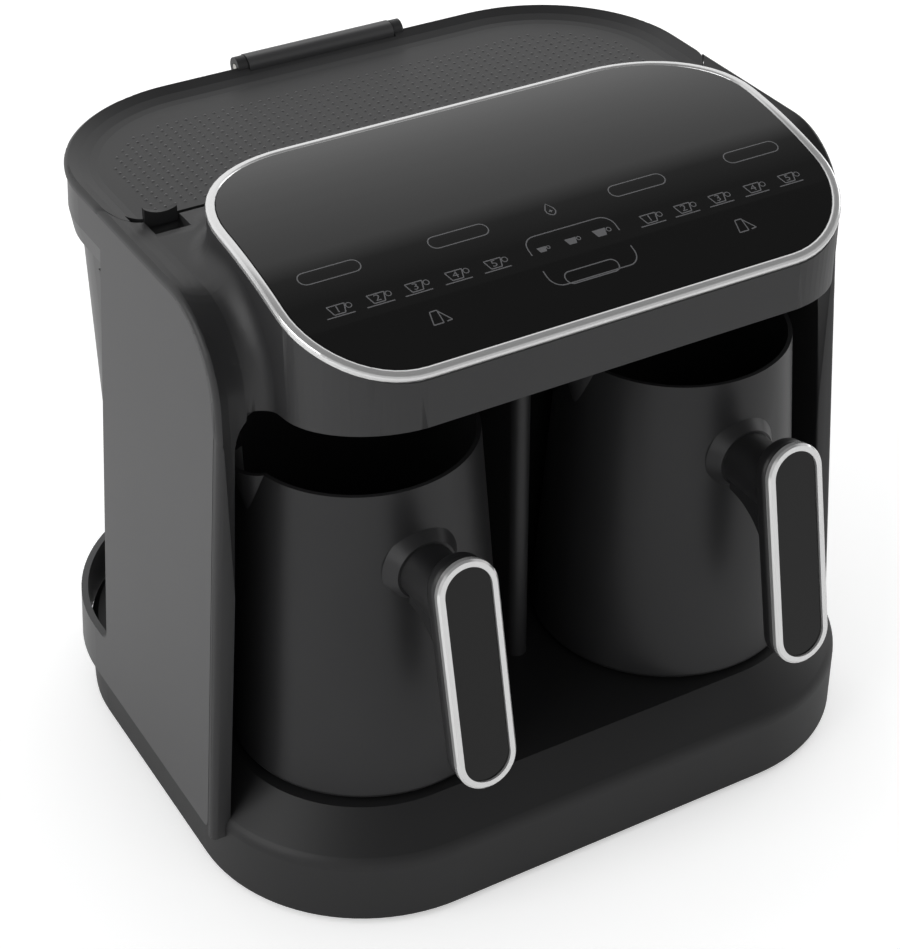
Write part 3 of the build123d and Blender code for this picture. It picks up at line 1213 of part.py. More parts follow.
for side, word in ((LEFT, "left"), (RIGHT, "right")):
    pot_x = side * POT_X
    rim_z = POT_RIM_Z
    spout_x = pot_x - POT_RIM_R - SPOUT_REACH + SPOUT_HALF_WIDTH
    spout_low_z = rim_z - SPOUT_DEPTH
    spout_low_r = 3.0
    spout_low_x = pot_x - pot_radius(spout_low_z) + spout_low_r + 0.4
    pot_outside = turned(
        [(0, POT_BOTTOM_Z), (POT_BASE_R, POT_BOTTOM_Z), (POT_RIM_R, rim_z), (0, rim_z)],
        [0, 2.0, 0, 0], pot_x,
    )
    pot_inside = turned(
        [(0, POT_FLOOR_Z), (pot_radius(POT_FLOOR_Z, POT_WALL), POT_FLOOR_Z),
         (pot_radius(rim_z + 1, POT_WALL), rim_z + 1), (0, rim_z + 1)],
        [0, 6.0, 0, 0], pot_x,
    )
    skirt_top_z = POT_FLOOR_Z - POT_WALL
    pot_skirt_space = turned(
        [(0, POT_BOTTOM_Z - 1), (pot_radius(POT_BOTTOM_Z - 1, POT_WALL), POT_BOTTOM_Z - 1),
         (pot_radius(skirt_top_z, POT_WALL), skirt_top_z), (0, skirt_top_z)],
        [0, 0, 0, 0], pot_x,
    )
    spout_outside = round_stack(
        (spout_low_x, POT_Y, spout_low_z, spout_low_r), (spout_x, POT_Y, rim_z, SPOUT_HALF_WIDTH)
    )
    spout_inside = round_stack(
        (spout_low_x, POT_Y, spout_low_z, spout_low_r - POT_WALL),
        (spout_x, POT_Y, rim_z + 0.01, SPOUT_HALF_WIDTH - POT_WALL),
    )
    with BuildPart() as handle_collar:
        with BuildSketch(Plane.XZ.offset(-collar_face_y - 5)) as collar_root:
            with Locations((pot_x, HANDLE_BOSS_Z)):
                Circle(HANDLE_COLLAR_R + 2.5)
        with BuildSketch(Plane.XZ.offset(-collar_face_y)) as collar_face:
            with Locations((pot_x, HANDLE_BOSS_Z)):
                Circle(HANDLE_COLLAR_R - 0.8)
        loft(ruled=True)

    socket_top_z = CONNECTOR_Z + CONNECTOR_HEIGHT + 0.6
    with BuildPart() as pot_body:
        add(pot_outside)
        add(spout_outside)
        add(handle_collar.part)
        add(pot_inside, mode=Mode.SUBTRACT)
        add(spout_inside, mode=Mode.SUBTRACT)
        add(pot_skirt_space, mode=Mode.SUBTRACT)
        # Window for the connector, and the hole for the handle screw
        add(
            block(pot_x - CONNECTOR_HALF_WIDTH - 1, pot_x + CONNECTOR_HALF_WIDTH + 1, POT_Y + 20,
                  POT_Y + POT_BASE_R + 5, CONNECTOR_Z - 1, CONNECTOR_Z + CONNECTOR_HEIGHT + 1),
            mode=Mode.SUBTRACT,
        )
        with Locations(Location((pot_x, collar_face_y + 1.5, HANDLE_BOSS_Z), (90, 0, 0))):
            Cylinder(2.0, 3.2, mode=Mode.SUBTRACT)
    export(pot_body, f"{word}_pot_body")

    base_top_z = DECK_Z + SEAT_GAP + 4
    socket_half = CONNECTOR_HALF_WIDTH + 0.6
    socket_reach = pot_radius(socket_top_z + SOCKET_WALL, POT_WALL)
    socket_y = POT_Y + sqrt(socket_reach ** 2 - (socket_half + SOCKET_WALL) ** 2) - 0.3
    with BuildPart() as pot_base:
        with BuildSketch(Plane.XY.offset(DECK_Z + SEAT_GAP)):
            with Locations((pot_x, POT_Y)):
                Circle(pot_radius(base_top_z, POT_WALL + 0.2))
        extrude(amount=4)
        chamfer(pot_base.faces().sort_by(Axis.Z)[0].edges(), 0.8)
        # Posts that carry the heating plate
        with BuildSketch(Plane.XY.offset(base_top_z)):
            with Locations((pot_x, POT_Y)):
                with PolarLocations(HEATER_R - 8, 3, start_angle=30):
                    Circle(3.5)
        extrude(amount=skirt_top_z - HEATER_T - base_top_z)
        # Socket that slides over the connector
        add(block(pot_x - socket_half - SOCKET_WALL, pot_x + socket_half + SOCKET_WALL,
                  BAY_REAR_Y - CONNECTOR_REACH - 2.4, socket_y, base_top_z - 1,
                  socket_top_z + SOCKET_WALL))
        add(
            block(pot_x - socket_half, pot_x + socket_half, BAY_REAR_Y - CONNECTOR_REACH - 0.8,
                  REACH, CONNECTOR_Z - 0.6, socket_top_z),
            mode=Mode.SUBTRACT,
        )
    export(pot_base, f"{word}_pot_base")

    with BuildPart() as heating_plate:
        with BuildSketch(Plane.XY.offset(skirt_top_z - HEATER_T)):
            with Locations((pot_x, POT_Y)):
                Circle(HEATER_R)
        extrude(amount=HEATER_T)
    export(heating_plate, f"{word}_heating_plate")

    handle_plane = Plane(
        origin=(pot_x, handle_mid_y, handle_mid_z), x_dir=(1, 0, 0),
        z_dir=(0, -cos(radians(HANDLE_TILT)), sin(radians(HANDLE_TILT))),
    )
    with BuildPart() as handle_ring:
        with BuildSketch(handle_plane):
            SlotOverall(HANDLE_LENGTH, HANDLE_WIDTH, rotation=90)
        extrude(amount=-HANDLE_RING_T)
        chamfer(handle_ring.faces().sort_by(Axis.Y)[0].edges(), 0.7)
        with BuildSketch(handle_plane):
            SlotOverall(HANDLE_LENGTH - 2 * HANDLE_RING_WIDTH,
                        HANDLE_WIDTH - 2 * HANDLE_RING_WIDTH, rotation=90)
        extrude(amount=-HANDLE_RING_T, mode=Mode.SUBTRACT)
    export(handle_ring, f"{word}_handle_ring")

    with BuildPart() as handle_inlay:
        with BuildSketch(handle_plane.offset(-0.9)):
            SlotOverall(HANDLE_LENGTH - 2 * HANDLE_RING_WIDTH - 0.2,
                        HANDLE_WIDTH - 2 * HANDLE_RING_WIDTH - 0.2, rotation=90)
        extrude(amount=-(HANDLE_RING_T - 0.9))
    export(handle_inlay, f"{word}_handle_inlay")

    with BuildPart() as handle_grip:
        with BuildSketch(handle_plane.offset(-HANDLE_RING_T)):
            SlotOverall(HANDLE_LENGTH - 0.8, HANDLE_WIDTH - 0.8, rotation=90)
        extrude(amount=-HANDLE_GRIP_T)
        fillet(handle_grip.faces().sort_by(Axis.Y)[-1].edges(), 2.5)
        with BuildSketch(Plane.XZ.offset(-collar_face_y)):
            with Locations((pot_x, HANDLE_BOSS_Z)):
                Circle(HANDLE_BOSS_R)
        extrude(amount=collar_face_y - SCREW_HEAD_Y)
        with BuildSketch(Plane.YZ.offset(pot_x)):
            with BuildLine():
                Polyline(
                    (web_start.X, web_start.Y), (web_start.X, web_start.Y + 4),
                    (web_corner.X - 4, web_start.Y + 4), (web_end.X - 4, web_end.Y),
                    (web_end.X, web_end.Y),
                )
                ThreePointArc(
                    (web_end.X, web_end.Y), (web_mid.X, web_mid.Y), (web_start.X, web_start.Y)
                )
            make_face()
        extrude(amount=0.75 * HANDLE_BOSS_R, both=True)
        # Through hole for the screw, with a pocket for its head
        with Locations(Location((pot_x, (collar_face_y + SCREW_HEAD_Y) / 2, HANDLE_BOSS_Z), (90, 0, 0))):
            Cylinder(2.2, 60, mode=Mode.SUBTRACT)
        with Locations(Location((pot_x, SCREW_HEAD_Y - 2, HANDLE_BOSS_Z), (90, 0, 0))):
            Cylinder(3.8, 8, mode=Mode.SUBTRACT)
    export(handle_grip, f"{word}_handle_grip")

    with BuildPart() as handle_screw:
        with BuildSketch(Plane.XZ.offset(-collar_face_y - 3.0)):
            with Locations((pot_x, HANDLE_BOSS_Z)):
                Circle(2.0)
        extrude(amount=collar_face_y + 3.0 - SCREW_HEAD_Y - 2.0)
        with BuildSketch(Plane.XZ.offset(-SCREW_HEAD_Y - 2.0)):
            with Locations((pot_x, HANDLE_BOSS_Z)):
                Circle(3.5)
        extrude(amount=2.0)
    export(handle_screw, f"{word}_handle_screw")
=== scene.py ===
# %% [markdown]
# # A countertop coffee maker with two pots
# The solids of the machine come in already placed, in metres, with +Z up and the
# pots towards -Y. This lesson dresses them: each cell adds one finish or one
# piece, such as the grip dots on the lid or the signs on the control panel.
# Nothing here moves or reshapes a solid. Where one needs another shape, as the
# panel does, a new piece stands in for it, and the solid itself isn't shown.

from math import asin, cos, pi, radians, sin, sqrt, tan

import bmesh
import bpy
from mathutils import Matrix, Vector


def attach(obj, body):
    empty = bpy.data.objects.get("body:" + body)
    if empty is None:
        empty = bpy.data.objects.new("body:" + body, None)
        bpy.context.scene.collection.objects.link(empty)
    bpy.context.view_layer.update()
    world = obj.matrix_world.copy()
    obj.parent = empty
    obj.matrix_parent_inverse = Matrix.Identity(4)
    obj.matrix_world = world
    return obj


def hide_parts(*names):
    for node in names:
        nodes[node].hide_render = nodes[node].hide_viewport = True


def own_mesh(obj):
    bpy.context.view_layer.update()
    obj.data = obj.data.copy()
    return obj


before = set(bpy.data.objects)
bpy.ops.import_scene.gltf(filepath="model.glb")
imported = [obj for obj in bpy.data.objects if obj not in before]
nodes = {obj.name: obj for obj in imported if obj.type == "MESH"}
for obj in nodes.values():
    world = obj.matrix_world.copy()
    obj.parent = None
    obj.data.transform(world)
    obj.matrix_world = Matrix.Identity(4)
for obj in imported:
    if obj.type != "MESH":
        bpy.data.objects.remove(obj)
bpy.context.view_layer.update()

MM = 0.001

# %% [markdown]
# ## Camera
# The view is from above the machine and from its front left. The camera is placed
# by its heading, its dip and its distance to a point in the machine, which are
# easier to read and to change than a matrix. Its lens is as long as it has to be
# for a focal length that is known in pixels: the sensor spans the longer side of
# the frame, which is its height here.

# %% Camera
VIEW_HEADING = 0.51722        # radians, from +Y towards +X
VIEW_DIP = 0.61106            # radians below the horizon
VIEW_ROLL = -0.00599          # radians, positive anticlockwise
VIEW_DISTANCE = 862.5 * MM
VIEW_TARGET = Vector((-9.82, -0.77, 108.0)) * MM
FRAME_HEIGHT_PX = 949
FOCAL_PX = 2281.3
SENSOR = 36.0                 # millimetres
NEAREST = 20 * MM             # nothing closer than this is drawn

forward = Vector((
    sin(VIEW_HEADING) * cos(VIEW_DIP), cos(VIEW_HEADING) * cos(VIEW_DIP), -sin(VIEW_DIP)
))
level = Vector((cos(VIEW_HEADING), -sin(VIEW_HEADING), 0))
upward = level.cross(forward)
camera_x = level * cos(VIEW_ROLL) + upward * sin(VIEW_ROLL)
camera_y = upward * cos(VIEW_ROLL) - level * sin(VIEW_ROLL)
lens = bpy.data.cameras.new("product_camera")
lens.sensor_width = SENSOR
lens.lens = SENSOR * FOCAL_PX / FRAME_HEIGHT_PX
lens.clip_start = NEAREST
camera = bpy.data.objects.new("product_camera", lens)
camera.matrix_world = Matrix.Translation(VIEW_TARGET - forward * VIEW_DISTANCE) @ Matrix((
    camera_x, camera_y, -forward
)).transposed().to_4x4()
bpy.context.scene.collection.objects.link(camera)
bpy.context.scene.camera = camera
print("camera at", [round(v, 3) for v in camera.matrix_world.translation])

# %% [markdown]
# ## Colours and nodes
# Colours are written as sRGB hex codes, as on any paint chart, and one function
# turns them to the linear values that the renderer adds up. A second one adds a
# shader node with its settings and links, so that a material reads from top to
# bottom as a list of its nodes.


# %% Colour and node helpers
def linear(code):
    """Linear RGBA from an sRGB hex code."""
    channels = [int(code[i:i + 2], 16) / 255 for i in (1, 3, 5)]
    return tuple(
        c / 12.92 if c <= 0.04045 else ((c + 0.055) / 1.055) ** 2.4 for c in channels
    ) + (1.0,)


def add_node(tree, kind, inputs=None, **settings):
    """Add a node, set its settings, and fill or link its inputs."""
    new = tree.nodes.new(kind)
    for key, value in settings.items():
        setattr(new, key, value)
    for key, value in (inputs or {}).items():
        if isinstance(value, bpy.types.NodeSocket):
            tree.links.new(value, new.inputs[key])
        else:
            new.inputs[key].default_value = value
    return new


def new_material(name):
    """Empty node material, and its tree."""
    material = bpy.data.materials.new(name)
    material.use_nodes = True
    material.node_tree.nodes.clear()
    return material, material.node_tree


def give_surface(tree, shader):
    """Link a shader to a material's surface."""
    add_node(tree, "ShaderNodeOutputMaterial", {"Surface": shader.outputs[0]})


# %% [markdown]
# ## The studio around the machine
# One soft light level comes from all round. Shiny surfaces see a darker room than
# that: grey near the horizon and nearly black overhead, as in a studio whose
# ceiling is hung with black cloth. This keeps dark plastic dark without putting
# out the soft light on it. The camera itself sees plain white.

# %% World
WORLD_LEVEL = 0.55
WORLD_GLOSS = 0.42            # what a shiny surface sees near the horizon
OVERHEAD_GLOSS = 0.05         # and overhead
GLOSS_FALL = (0.60, 0.80)     # sine of the height angles between which it falls

world = bpy.data.worlds.new("studio_world")
world.use_nodes = True
bpy.context.scene.world = world
tree = world.node_tree
tree.nodes.clear()
path = add_node(tree, "ShaderNodeLightPath")
soft = add_node(tree, "ShaderNodeBackground", {
    "Color": linear("#ffffff"), "Strength": WORLD_LEVEL,
})
way = add_node(tree, "ShaderNodeSeparateXYZ", {
    "Vector": add_node(tree, "ShaderNodeTexCoord").outputs["Generated"],
})
fall = add_node(tree, "ShaderNodeMapRange", {
    "Value": way.outputs["Z"], "From Min": GLOSS_FALL[0], "From Max": GLOSS_FALL[1],
    "To Min": WORLD_GLOSS, "To Max": OVERHEAD_GLOSS,
})
gloss = add_node(tree, "ShaderNodeBackground", {
    "Color": linear("#ffffff"), "Strength": fall.outputs["Result"],
})
white = add_node(tree, "ShaderNodeBackground", {"Color": linear("#ffffff"), "Strength": 1.0})
seen_in_gloss = add_node(tree, "ShaderNodeMixShader", {
    0: path.outputs["Is Glossy Ray"], 1: soft.outputs[0], 2: gloss.outputs[0],
})
seen = add_node(tree, "ShaderNodeMixShader", {
    0: path.outputs["Is Camera Ray"], 1: seen_in_gloss.outputs[0], 2: white.outputs[0],
})
add_node(tree, "ShaderNodeOutputWorld", {"Surface": seen.outputs[0]})
print("world:", WORLD_LEVEL, "for light,", (WORLD_GLOSS, OVERHEAD_GLOSS), "for reflections")

# %% [markdown]
# ## Paper floor
# A wide sheet of matt, pale paper carries the machine. Only the camera sees it a
# little brighter than it is, by a glow that is added to it, so that it reads as
# white and still holds the machine's soft shadow.

# %% Floor
PAPER = "#f4f4f4"
PAPER_LIFT = 0.42             # the glow that only the camera sees
PAPER_HALF = 6.0              # half the width of the sheet, in metres

material, tree = new_material("paper_sweep")
path = add_node(tree, "ShaderNodeLightPath")
paper = add_node(tree, "ShaderNodeBsdfDiffuse", {"Color": linear(PAPER)})
lift = add_node(tree, "ShaderNodeEmission", {
    "Color": linear("#ffffff"), "Strength": PAPER_LIFT,
})
both = add_node(tree, "ShaderNodeAddShader", {0: paper.outputs[0], 1: lift.outputs[0]})
shown = add_node(tree, "ShaderNodeMixShader", {
    0: path.outputs["Is Camera Ray"], 1: paper.outputs[0], 2: both.outputs[0],
})
give_surface(tree, shown)

sheet = bmesh.new()
bmesh.ops.create_grid(sheet, x_segments=1, y_segments=1, size=PAPER_HALF)
floor_mesh = bpy.data.meshes.new("paper_floor")
sheet.to_mesh(floor_mesh)
sheet.free()
floor_mesh.materials.append(material)
floor = bpy.data.objects.new("paper_floor", floor_mesh)
bpy.context.scene.collection.objects.link(floor)
print("paper:", PAPER, "and", 2 * PAPER_HALF, "m wide")

# %% [markdown]
# ## Softboxes
# Four large, even lamps shape the machine. The left one lights the side cover and
# the pots' walls, the right one the far shoulder, the rear one draws the edges of
# the lid, and the weak front one opens the bays. The rear and the front lamp would
# show as bright patches in the plastic, so reflections don't see them. Each is set
# by its radiance, which doesn't change with its size as a power in watts would.


# %% Lamps
LAMPS_LOOK_AT = (0, 0, 0.1)


def softbox(name, centre, width, height, radiance, mirrored=True):
    """Rectangular lamp of an even brightness that looks at the machine."""
    lamp = bpy.data.lights.new(name, "AREA")
    lamp.shape = "RECTANGLE"
    lamp.size = width
    lamp.size_y = height
    lamp.energy = radiance * pi * width * height
    placed = bpy.data.objects.new(name, lamp)
    aim = (Vector(LAMPS_LOOK_AT) - Vector(centre)).to_track_quat("-Z", "Y")
    placed.matrix_world = Matrix.Translation(Vector(centre)) @ aim.to_matrix().to_4x4()
    placed.visible_camera = False
    placed.visible_glossy = mirrored
    bpy.context.scene.collection.objects.link(placed)
    return placed


lamps = (
    softbox(
        "rear_softbox", (1.2, 1.5, 1.5), width=3.0, height=1.0, radiance=1.1, mirrored=False,
    ),
    softbox("left_softbox", (-1.7, -0.1, 1.0), width=1.4, height=1.2, radiance=2.1),
    softbox(
        "front_softbox", (-0.3, -1.9, 1.6), width=1.6, height=1.0, radiance=0.45,
        mirrored=False,
    ),
    softbox("right_softbox", (1.9, 0.3, 0.9), width=0.9, height=0.9, radiance=1.6),
)
print("lamps:", {lamp.name: round(lamp.data.energy, 2) for lamp in lamps})

# %% [markdown]
# ## Graded screen
# A glass panel looks like whatever stands behind it. Here that is an upright
# screen at the rear, pale grey at its foot and nearly black at its top. Only
# reflections see it. It gives the glass its lighter rear half and its dark front
# half, and the fade between them shows that the panel is arched.

# %% Graded screen
SCREEN_X = 1.2                # its middle, right of the machine's
SCREEN_Y = 1.5
SCREEN_WIDTH = 6.0
SCREEN_TOP = 6.0
SCREEN_GLOW = (               # height in metres, glow
    (0.9, 0.86), (1.6, 0.80), (2.45, 0.68), (2.75, 0.42), (3.0, 0.22), (4.2, 0.09),
)

material, tree = new_material("graded_screen")
spot = add_node(tree, "ShaderNodeSeparateXYZ", {
    "Vector": add_node(tree, "ShaderNodeTexCoord").outputs["Object"],
})
share = add_node(
    tree, "ShaderNodeMath", {0: spot.outputs["Z"], 1: SCREEN_TOP}, operation="DIVIDE",
)
ramp = add_node(tree, "ShaderNodeValToRGB", {"Fac": share.outputs[0]})
while len(ramp.color_ramp.elements) < len(SCREEN_GLOW):
    ramp.color_ramp.elements.new(0.5)  # its place is set below
for stop, (height, glow) in zip(ramp.color_ramp.elements, SCREEN_GLOW):
    stop.position = height / SCREEN_TOP
    stop.color = (glow, glow, glow, 1)
give_surface(tree, add_node(tree, "ShaderNodeEmission", {"Color": ramp.outputs["Color"]}))

screen = bmesh.new()
bmesh.ops.create_grid(screen, x_segments=1, y_segments=1, size=1.0)
raised = Matrix.Translation((SCREEN_X, SCREEN_Y, SCREEN_TOP / 2))
upright = Matrix.Rotation(radians(90), 4, "X")
stretched = Matrix.Diagonal((SCREEN_WIDTH / 2, SCREEN_TOP / 2, 1, 1))
bmesh.ops.transform(screen, verts=screen.verts, matrix=raised @ upright @ stretched)
screen_mesh = bpy.data.meshes.new("graded_screen")
screen.to_mesh(screen_mesh)
screen.free()
screen_mesh.materials.append(material)
graded_screen = bpy.data.objects.new("graded_screen", screen_mesh)
graded_screen.visible_camera = False
graded_screen.visible_diffuse = False
graded_screen.visible_shadow = False
bpy.context.scene.collection.objects.link(graded_screen)
print("screen:", SCREEN_WIDTH, "by", SCREEN_TOP, "m")

# %% [markdown]
# ## Moulded plastics
# Nearly all of the outside is injection-moulded ABS. Its steel mould is etched
# with a fine grain, so the skin scatters light: the highlights are broad and the
# edges glow softly. A noise bump at the size of that grain does this, and a
# slower noise keeps the colour from being one flat value. Real grain is finer
# than 0.1 mm; here it is drawn several times as coarse, so that it still shows.


# %% Moulded plastic finish
TONE_DRIFT_MM = 60            # size of the slow patches of tone
ABS_IOR = 1.53
MIX_A, MIX_B = 6, 7           # the colour inputs of a Mix node,
MIX_COLOUR = 2                # and its colour output, by place


def moulded_plastic(name, colour, grain_mm, depth, roughness, shade=0.10):
    """Etched injection-moulded plastic with a fine grain and a slow drift of tone."""
    made, tree = new_material(name)
    spot = add_node(tree, "ShaderNodeTexCoord").outputs["Object"]
    drift = add_node(tree, "ShaderNodeTexNoise", {
        "Vector": spot, "Scale": 1 / (TONE_DRIFT_MM * MM), "Detail": 2.0,
    })
    base = linear(colour)
    darker = tuple(c * (1 - shade) for c in base[:3]) + (1.0,)
    lighter = tuple(c * (1 + shade) for c in base[:3]) + (1.0,)
    tone = add_node(tree, "ShaderNodeMix", {
        "Factor": drift.outputs["Fac"], MIX_A: darker, MIX_B: lighter,
    }, data_type="RGBA")
    grain = add_node(tree, "ShaderNodeTexNoise", {
        "Vector": spot, "Scale": 1 / (grain_mm * MM), "Detail": 3.0, "Roughness": 0.6,
    })
    bump = add_node(tree, "ShaderNodeBump", {
        "Height": grain.outputs["Fac"], "Strength": depth, "Distance": 0.05 * MM,
    })
    skin = add_node(tree, "ShaderNodeBsdfPrincipled", {
        "Base Color": tone.outputs[MIX_COLOUR], "Roughness": roughness, "IOR": ABS_IOR,
        "Normal": bump.outputs["Normal"],
    })
    give_surface(tree, skin)
    return made


# Name, colour, grain in millimetres, depth of the grain, roughness. The side
# covers come from a finer etched mould, so they are smoother than the housings.
charcoal_abs = moulded_plastic("etched_charcoal_abs", "#2a2a2b", 0.8, 0.35, 0.46)
# The base takes a darker copy of the housing's charcoal ABS: painted shade, which keeps the low
# base as dark as the shade that falls on it.
painted_shade_base_abs = moulded_plastic("etched_abs_painted_shade", "#19191a", 0.8, 0.35, 0.50)
lid_abs = moulded_plastic("etched_lid_abs", "#272728", 0.8, 0.35, 0.44)
cover_abs = moulded_plastic("satin_cover_abs", "#3c3c3d", 0.6, 0.2, 0.34)
tank_plastic = moulded_plastic("smoked_tank_plastic", "#3a3a3b", 0.6, 0.15, 0.30)
black_nylon = moulded_plastic("black_nylon", "#1b1b1c", 0.7, 0.3, 0.42)
white_nylon = moulded_plastic("natural_nylon", "#d8d6cf", 0.7, 0.3, 0.5)
plastics = (charcoal_abs, painted_shade_base_abs, lid_abs, cover_abs, tank_plastic, black_nylon, white_nylon)
print("plastics:", [made.name for made in plastics])

# %% [markdown]
# ## Chrome, glass and gloss black
# The trims are chrome plate over plastic: a mirror, softened very slightly by the
# plating. A share of it scatters light, so that a ring only a few millimetres wide
# stays bright all the way round. The control panel is toughened glass with black
# print behind it, and the handle inlays are black plastic from a polished mould.
# Both are smooth enough to mirror the room, and a slow, faint ripple bends what
# they mirror, as on any real pane.


# %% Bright and glossy finishes
PLATE_RIPPLE_MM = 9
PLATE_METAL = 0.7             # the rest scatters light
GLOSS_RIPPLE_MM = 25
WIPE_MARKS = 1.8              # roughest over smoothest spot of a glossy face


def chrome_plate(name):
    """Bright plating with a slight ripple and haze."""
    made, tree = new_material(name)
    spot = add_node(tree, "ShaderNodeTexCoord").outputs["Object"]
    ripple = add_node(tree, "ShaderNodeTexNoise", {
        "Vector": spot, "Scale": 1 / (PLATE_RIPPLE_MM * MM), "Detail": 2.0,
    })
    bump = add_node(tree, "ShaderNodeBump", {
        "Height": ripple.outputs["Fac"], "Strength": 0.06, "Distance": 0.1 * MM,
    })
    haze = add_node(tree, "ShaderNodeMapRange", {
        "Value": ripple.outputs["Fac"], "To Min": 0.10, "To Max": 0.18,
    })
    give_surface(tree, add_node(tree, "ShaderNodeBsdfPrincipled", {
        "Base Color": linear("#f2f2f2"), "Metallic": PLATE_METAL,
        "Roughness": haze.outputs["Result"], "Normal": bump.outputs["Normal"],
    }))
    return made


def polished_black(name, colour, roughness, ior, ripple_depth):
    """Dark glass or gloss plastic, with the trace of a cloth on it."""
    made, tree = new_material(name)
    spot = add_node(tree, "ShaderNodeTexCoord").outputs["Object"]
    ripple = add_node(tree, "ShaderNodeTexNoise", {
        "Vector": spot, "Scale": 1 / (GLOSS_RIPPLE_MM * MM), "Detail": 1.0,
    })
    bump = add_node(tree, "ShaderNodeBump", {
        "Height": ripple.outputs["Fac"], "Strength": ripple_depth, "Distance": 0.05 * MM,
    })
    wipe = add_node(tree, "ShaderNodeMapRange", {
        "Value": ripple.outputs["Fac"], "To Min": roughness, "To Max": roughness * WIPE_MARKS,
    })
    give_surface(tree, add_node(tree, "ShaderNodeBsdfPrincipled", {
        "Base Color": linear(colour), "Roughness": wipe.outputs["Result"], "IOR": ior,
        "Normal": bump.outputs["Normal"],
    }))
    return made


chrome = chrome_plate("chrome_plated_trim")
panel_glass = polished_black("printed_toughened_glass", "#171717", 0.025, 1.52, 0.02)
piano_black = polished_black("piano_black_inlay", "#080808", 0.06, 1.42, 0.04)
print("bright and glossy:", [made.name for made in (chrome, panel_glass, piano_black)])

# %% [markdown]
# ## Coated steel pots
# The pots are drawn stainless steel under a dark, satin heat-proof coating. The
# coating levels out as it is sprayed, so the wall has long soft highlights and
# only a trace of texture. A little metal in the mix gives its cool, deep sheen.


# %% Coated steel
FLAKE_MM = 0.5
COAT_DRIFT_MM = 45


def coated_steel(name):
    """Sprayed satin coating over drawn steel."""
    made, tree = new_material(name)
    spot = add_node(tree, "ShaderNodeTexCoord").outputs["Object"]
    flake = add_node(tree, "ShaderNodeTexNoise", {
        "Vector": spot, "Scale": 1 / (FLAKE_MM * MM), "Detail": 2.0,
    })
    drift = add_node(tree, "ShaderNodeTexNoise", {
        "Vector": spot, "Scale": 1 / (COAT_DRIFT_MM * MM), "Detail": 2.0,
    })
    tone = add_node(tree, "ShaderNodeMix", {
        "Factor": drift.outputs["Fac"], MIX_A: linear("#29292a"), MIX_B: linear("#313132"),
    }, data_type="RGBA")
    bump = add_node(tree, "ShaderNodeBump", {
        "Height": flake.outputs["Fac"], "Strength": 0.15, "Distance": 0.03 * MM,
    })
    give_surface(tree, add_node(tree, "ShaderNodeBsdfPrincipled", {
        "Base Color": tone.outputs[MIX_COLOUR], "Metallic": 0.3, "Roughness": 0.38,
        "Normal": bump.outputs["Normal"],
    }))
    return made


pot_coating = coated_steel("satin_coated_steel")
print("pots:", pot_coating.name)

# %% [markdown]
# ## Metals, rubber and boards
# These finishes are for pieces that hardly show until the machine is taken apart.
# Screws, spring and heating plates are bare or plated metal with the marks of the
# tool that made them. Feet and seals are matt rubber, hoses are milky silicone,
# and the boards are green laminate with copper tracks.


# %% Metals, rubber and boards
RUBBER_BLOOM_MM = 3
TRACK_MM = 12                 # length of a brick in the pattern of tracks


def worked_metal(name, colour, roughness, grain_mm, stretch):
    """Plain metal with tool marks, which are long where stretch is below 1."""
    made, tree = new_material(name)
    spot = add_node(tree, "ShaderNodeTexCoord").outputs["Object"]
    along = add_node(tree, "ShaderNodeMapping", {"Vector": spot, "Scale": stretch})
    marks = add_node(tree, "ShaderNodeTexNoise", {
        "Vector": along.outputs["Vector"], "Scale": 1 / (grain_mm * MM), "Detail": 3.0,
    })
    bump = add_node(tree, "ShaderNodeBump", {
        "Height": marks.outputs["Fac"], "Strength": 0.3, "Distance": 0.03 * MM,
    })
    give_surface(tree, add_node(tree, "ShaderNodeBsdfPrincipled", {
        "Base Color": linear(colour), "Metallic": 1.0, "Roughness": roughness,
        "Normal": bump.outputs["Normal"],
    }))
    return made


def soft_rubber(name, colour, roughness):
    """Matt rubber or silicone with a pale, patchy bloom."""
    made, tree = new_material(name)
    spot = add_node(tree, "ShaderNodeTexCoord").outputs["Object"]
    bloom = add_node(tree, "ShaderNodeTexNoise", {
        "Vector": spot, "Scale": 1 / (RUBBER_BLOOM_MM * MM), "Detail": 4.0,
    })
    tone = add_node(tree, "ShaderNodeMix", {
        "Factor": bloom.outputs["Fac"], MIX_A: linear(colour),
        MIX_B: tuple(c * 1.3 for c in linear(colour)[:3]) + (1.0,),
    }, data_type="RGBA")
    give_surface(tree, add_node(tree, "ShaderNodeBsdfPrincipled", {
        "Base Color": tone.outputs[MIX_COLOUR], "Roughness": roughness, "IOR": 1.45,
    }))
    return made


def board_laminate(name):
    """Green solder mask over glass-fibre laminate, with faint copper tracks."""
    made, tree = new_material(name)
    spot = add_node(tree, "ShaderNodeTexCoord").outputs["Object"]
    tracks = add_node(tree, "ShaderNodeTexBrick", {
        "Vector": spot, "Scale": 1 / (TRACK_MM * MM), "Color1": linear("#14492c"),
        "Color2": linear("#175233"), "Mortar": linear("#2a6b3f"), "Mortar Size": 0.03,
    })
    give_surface(tree, add_node(tree, "ShaderNodeBsdfPrincipled", {
        "Base Color": tracks.outputs["Color"], "Roughness": 0.35, "IOR": 1.5,
    }))
    return made


zinc_steel = worked_metal("zinc_plated_steel", "#b9b9b7", 0.35, 0.4, (1, 1, 1))
spring_steel = worked_metal("stainless_spring_steel", "#c4c2bd", 0.25, 0.4, (1, 1, 0.1))
aluminium = worked_metal("pressed_aluminium", "#cfcfd0", 0.35, 0.5, (1, 0.1, 1))
black_rubber = soft_rubber("black_rubber", "#1c1c1c", 0.7)
clear_silicone = soft_rubber("milky_silicone", "#c9c7bf", 0.45)
circuit_board = board_laminate("green_circuit_board")
print("materials so far:", len(bpy.data.materials))

# %% [markdown]
# ## Dress the solids
# Each solid takes one finish and keeps its mesh and its shading as they came. A
# table of finishes, each with the solids that wear it, is easier to check against
# the machine than a line for every solid. A solid that isn't in the table is a
# plain inner part and takes black nylon.

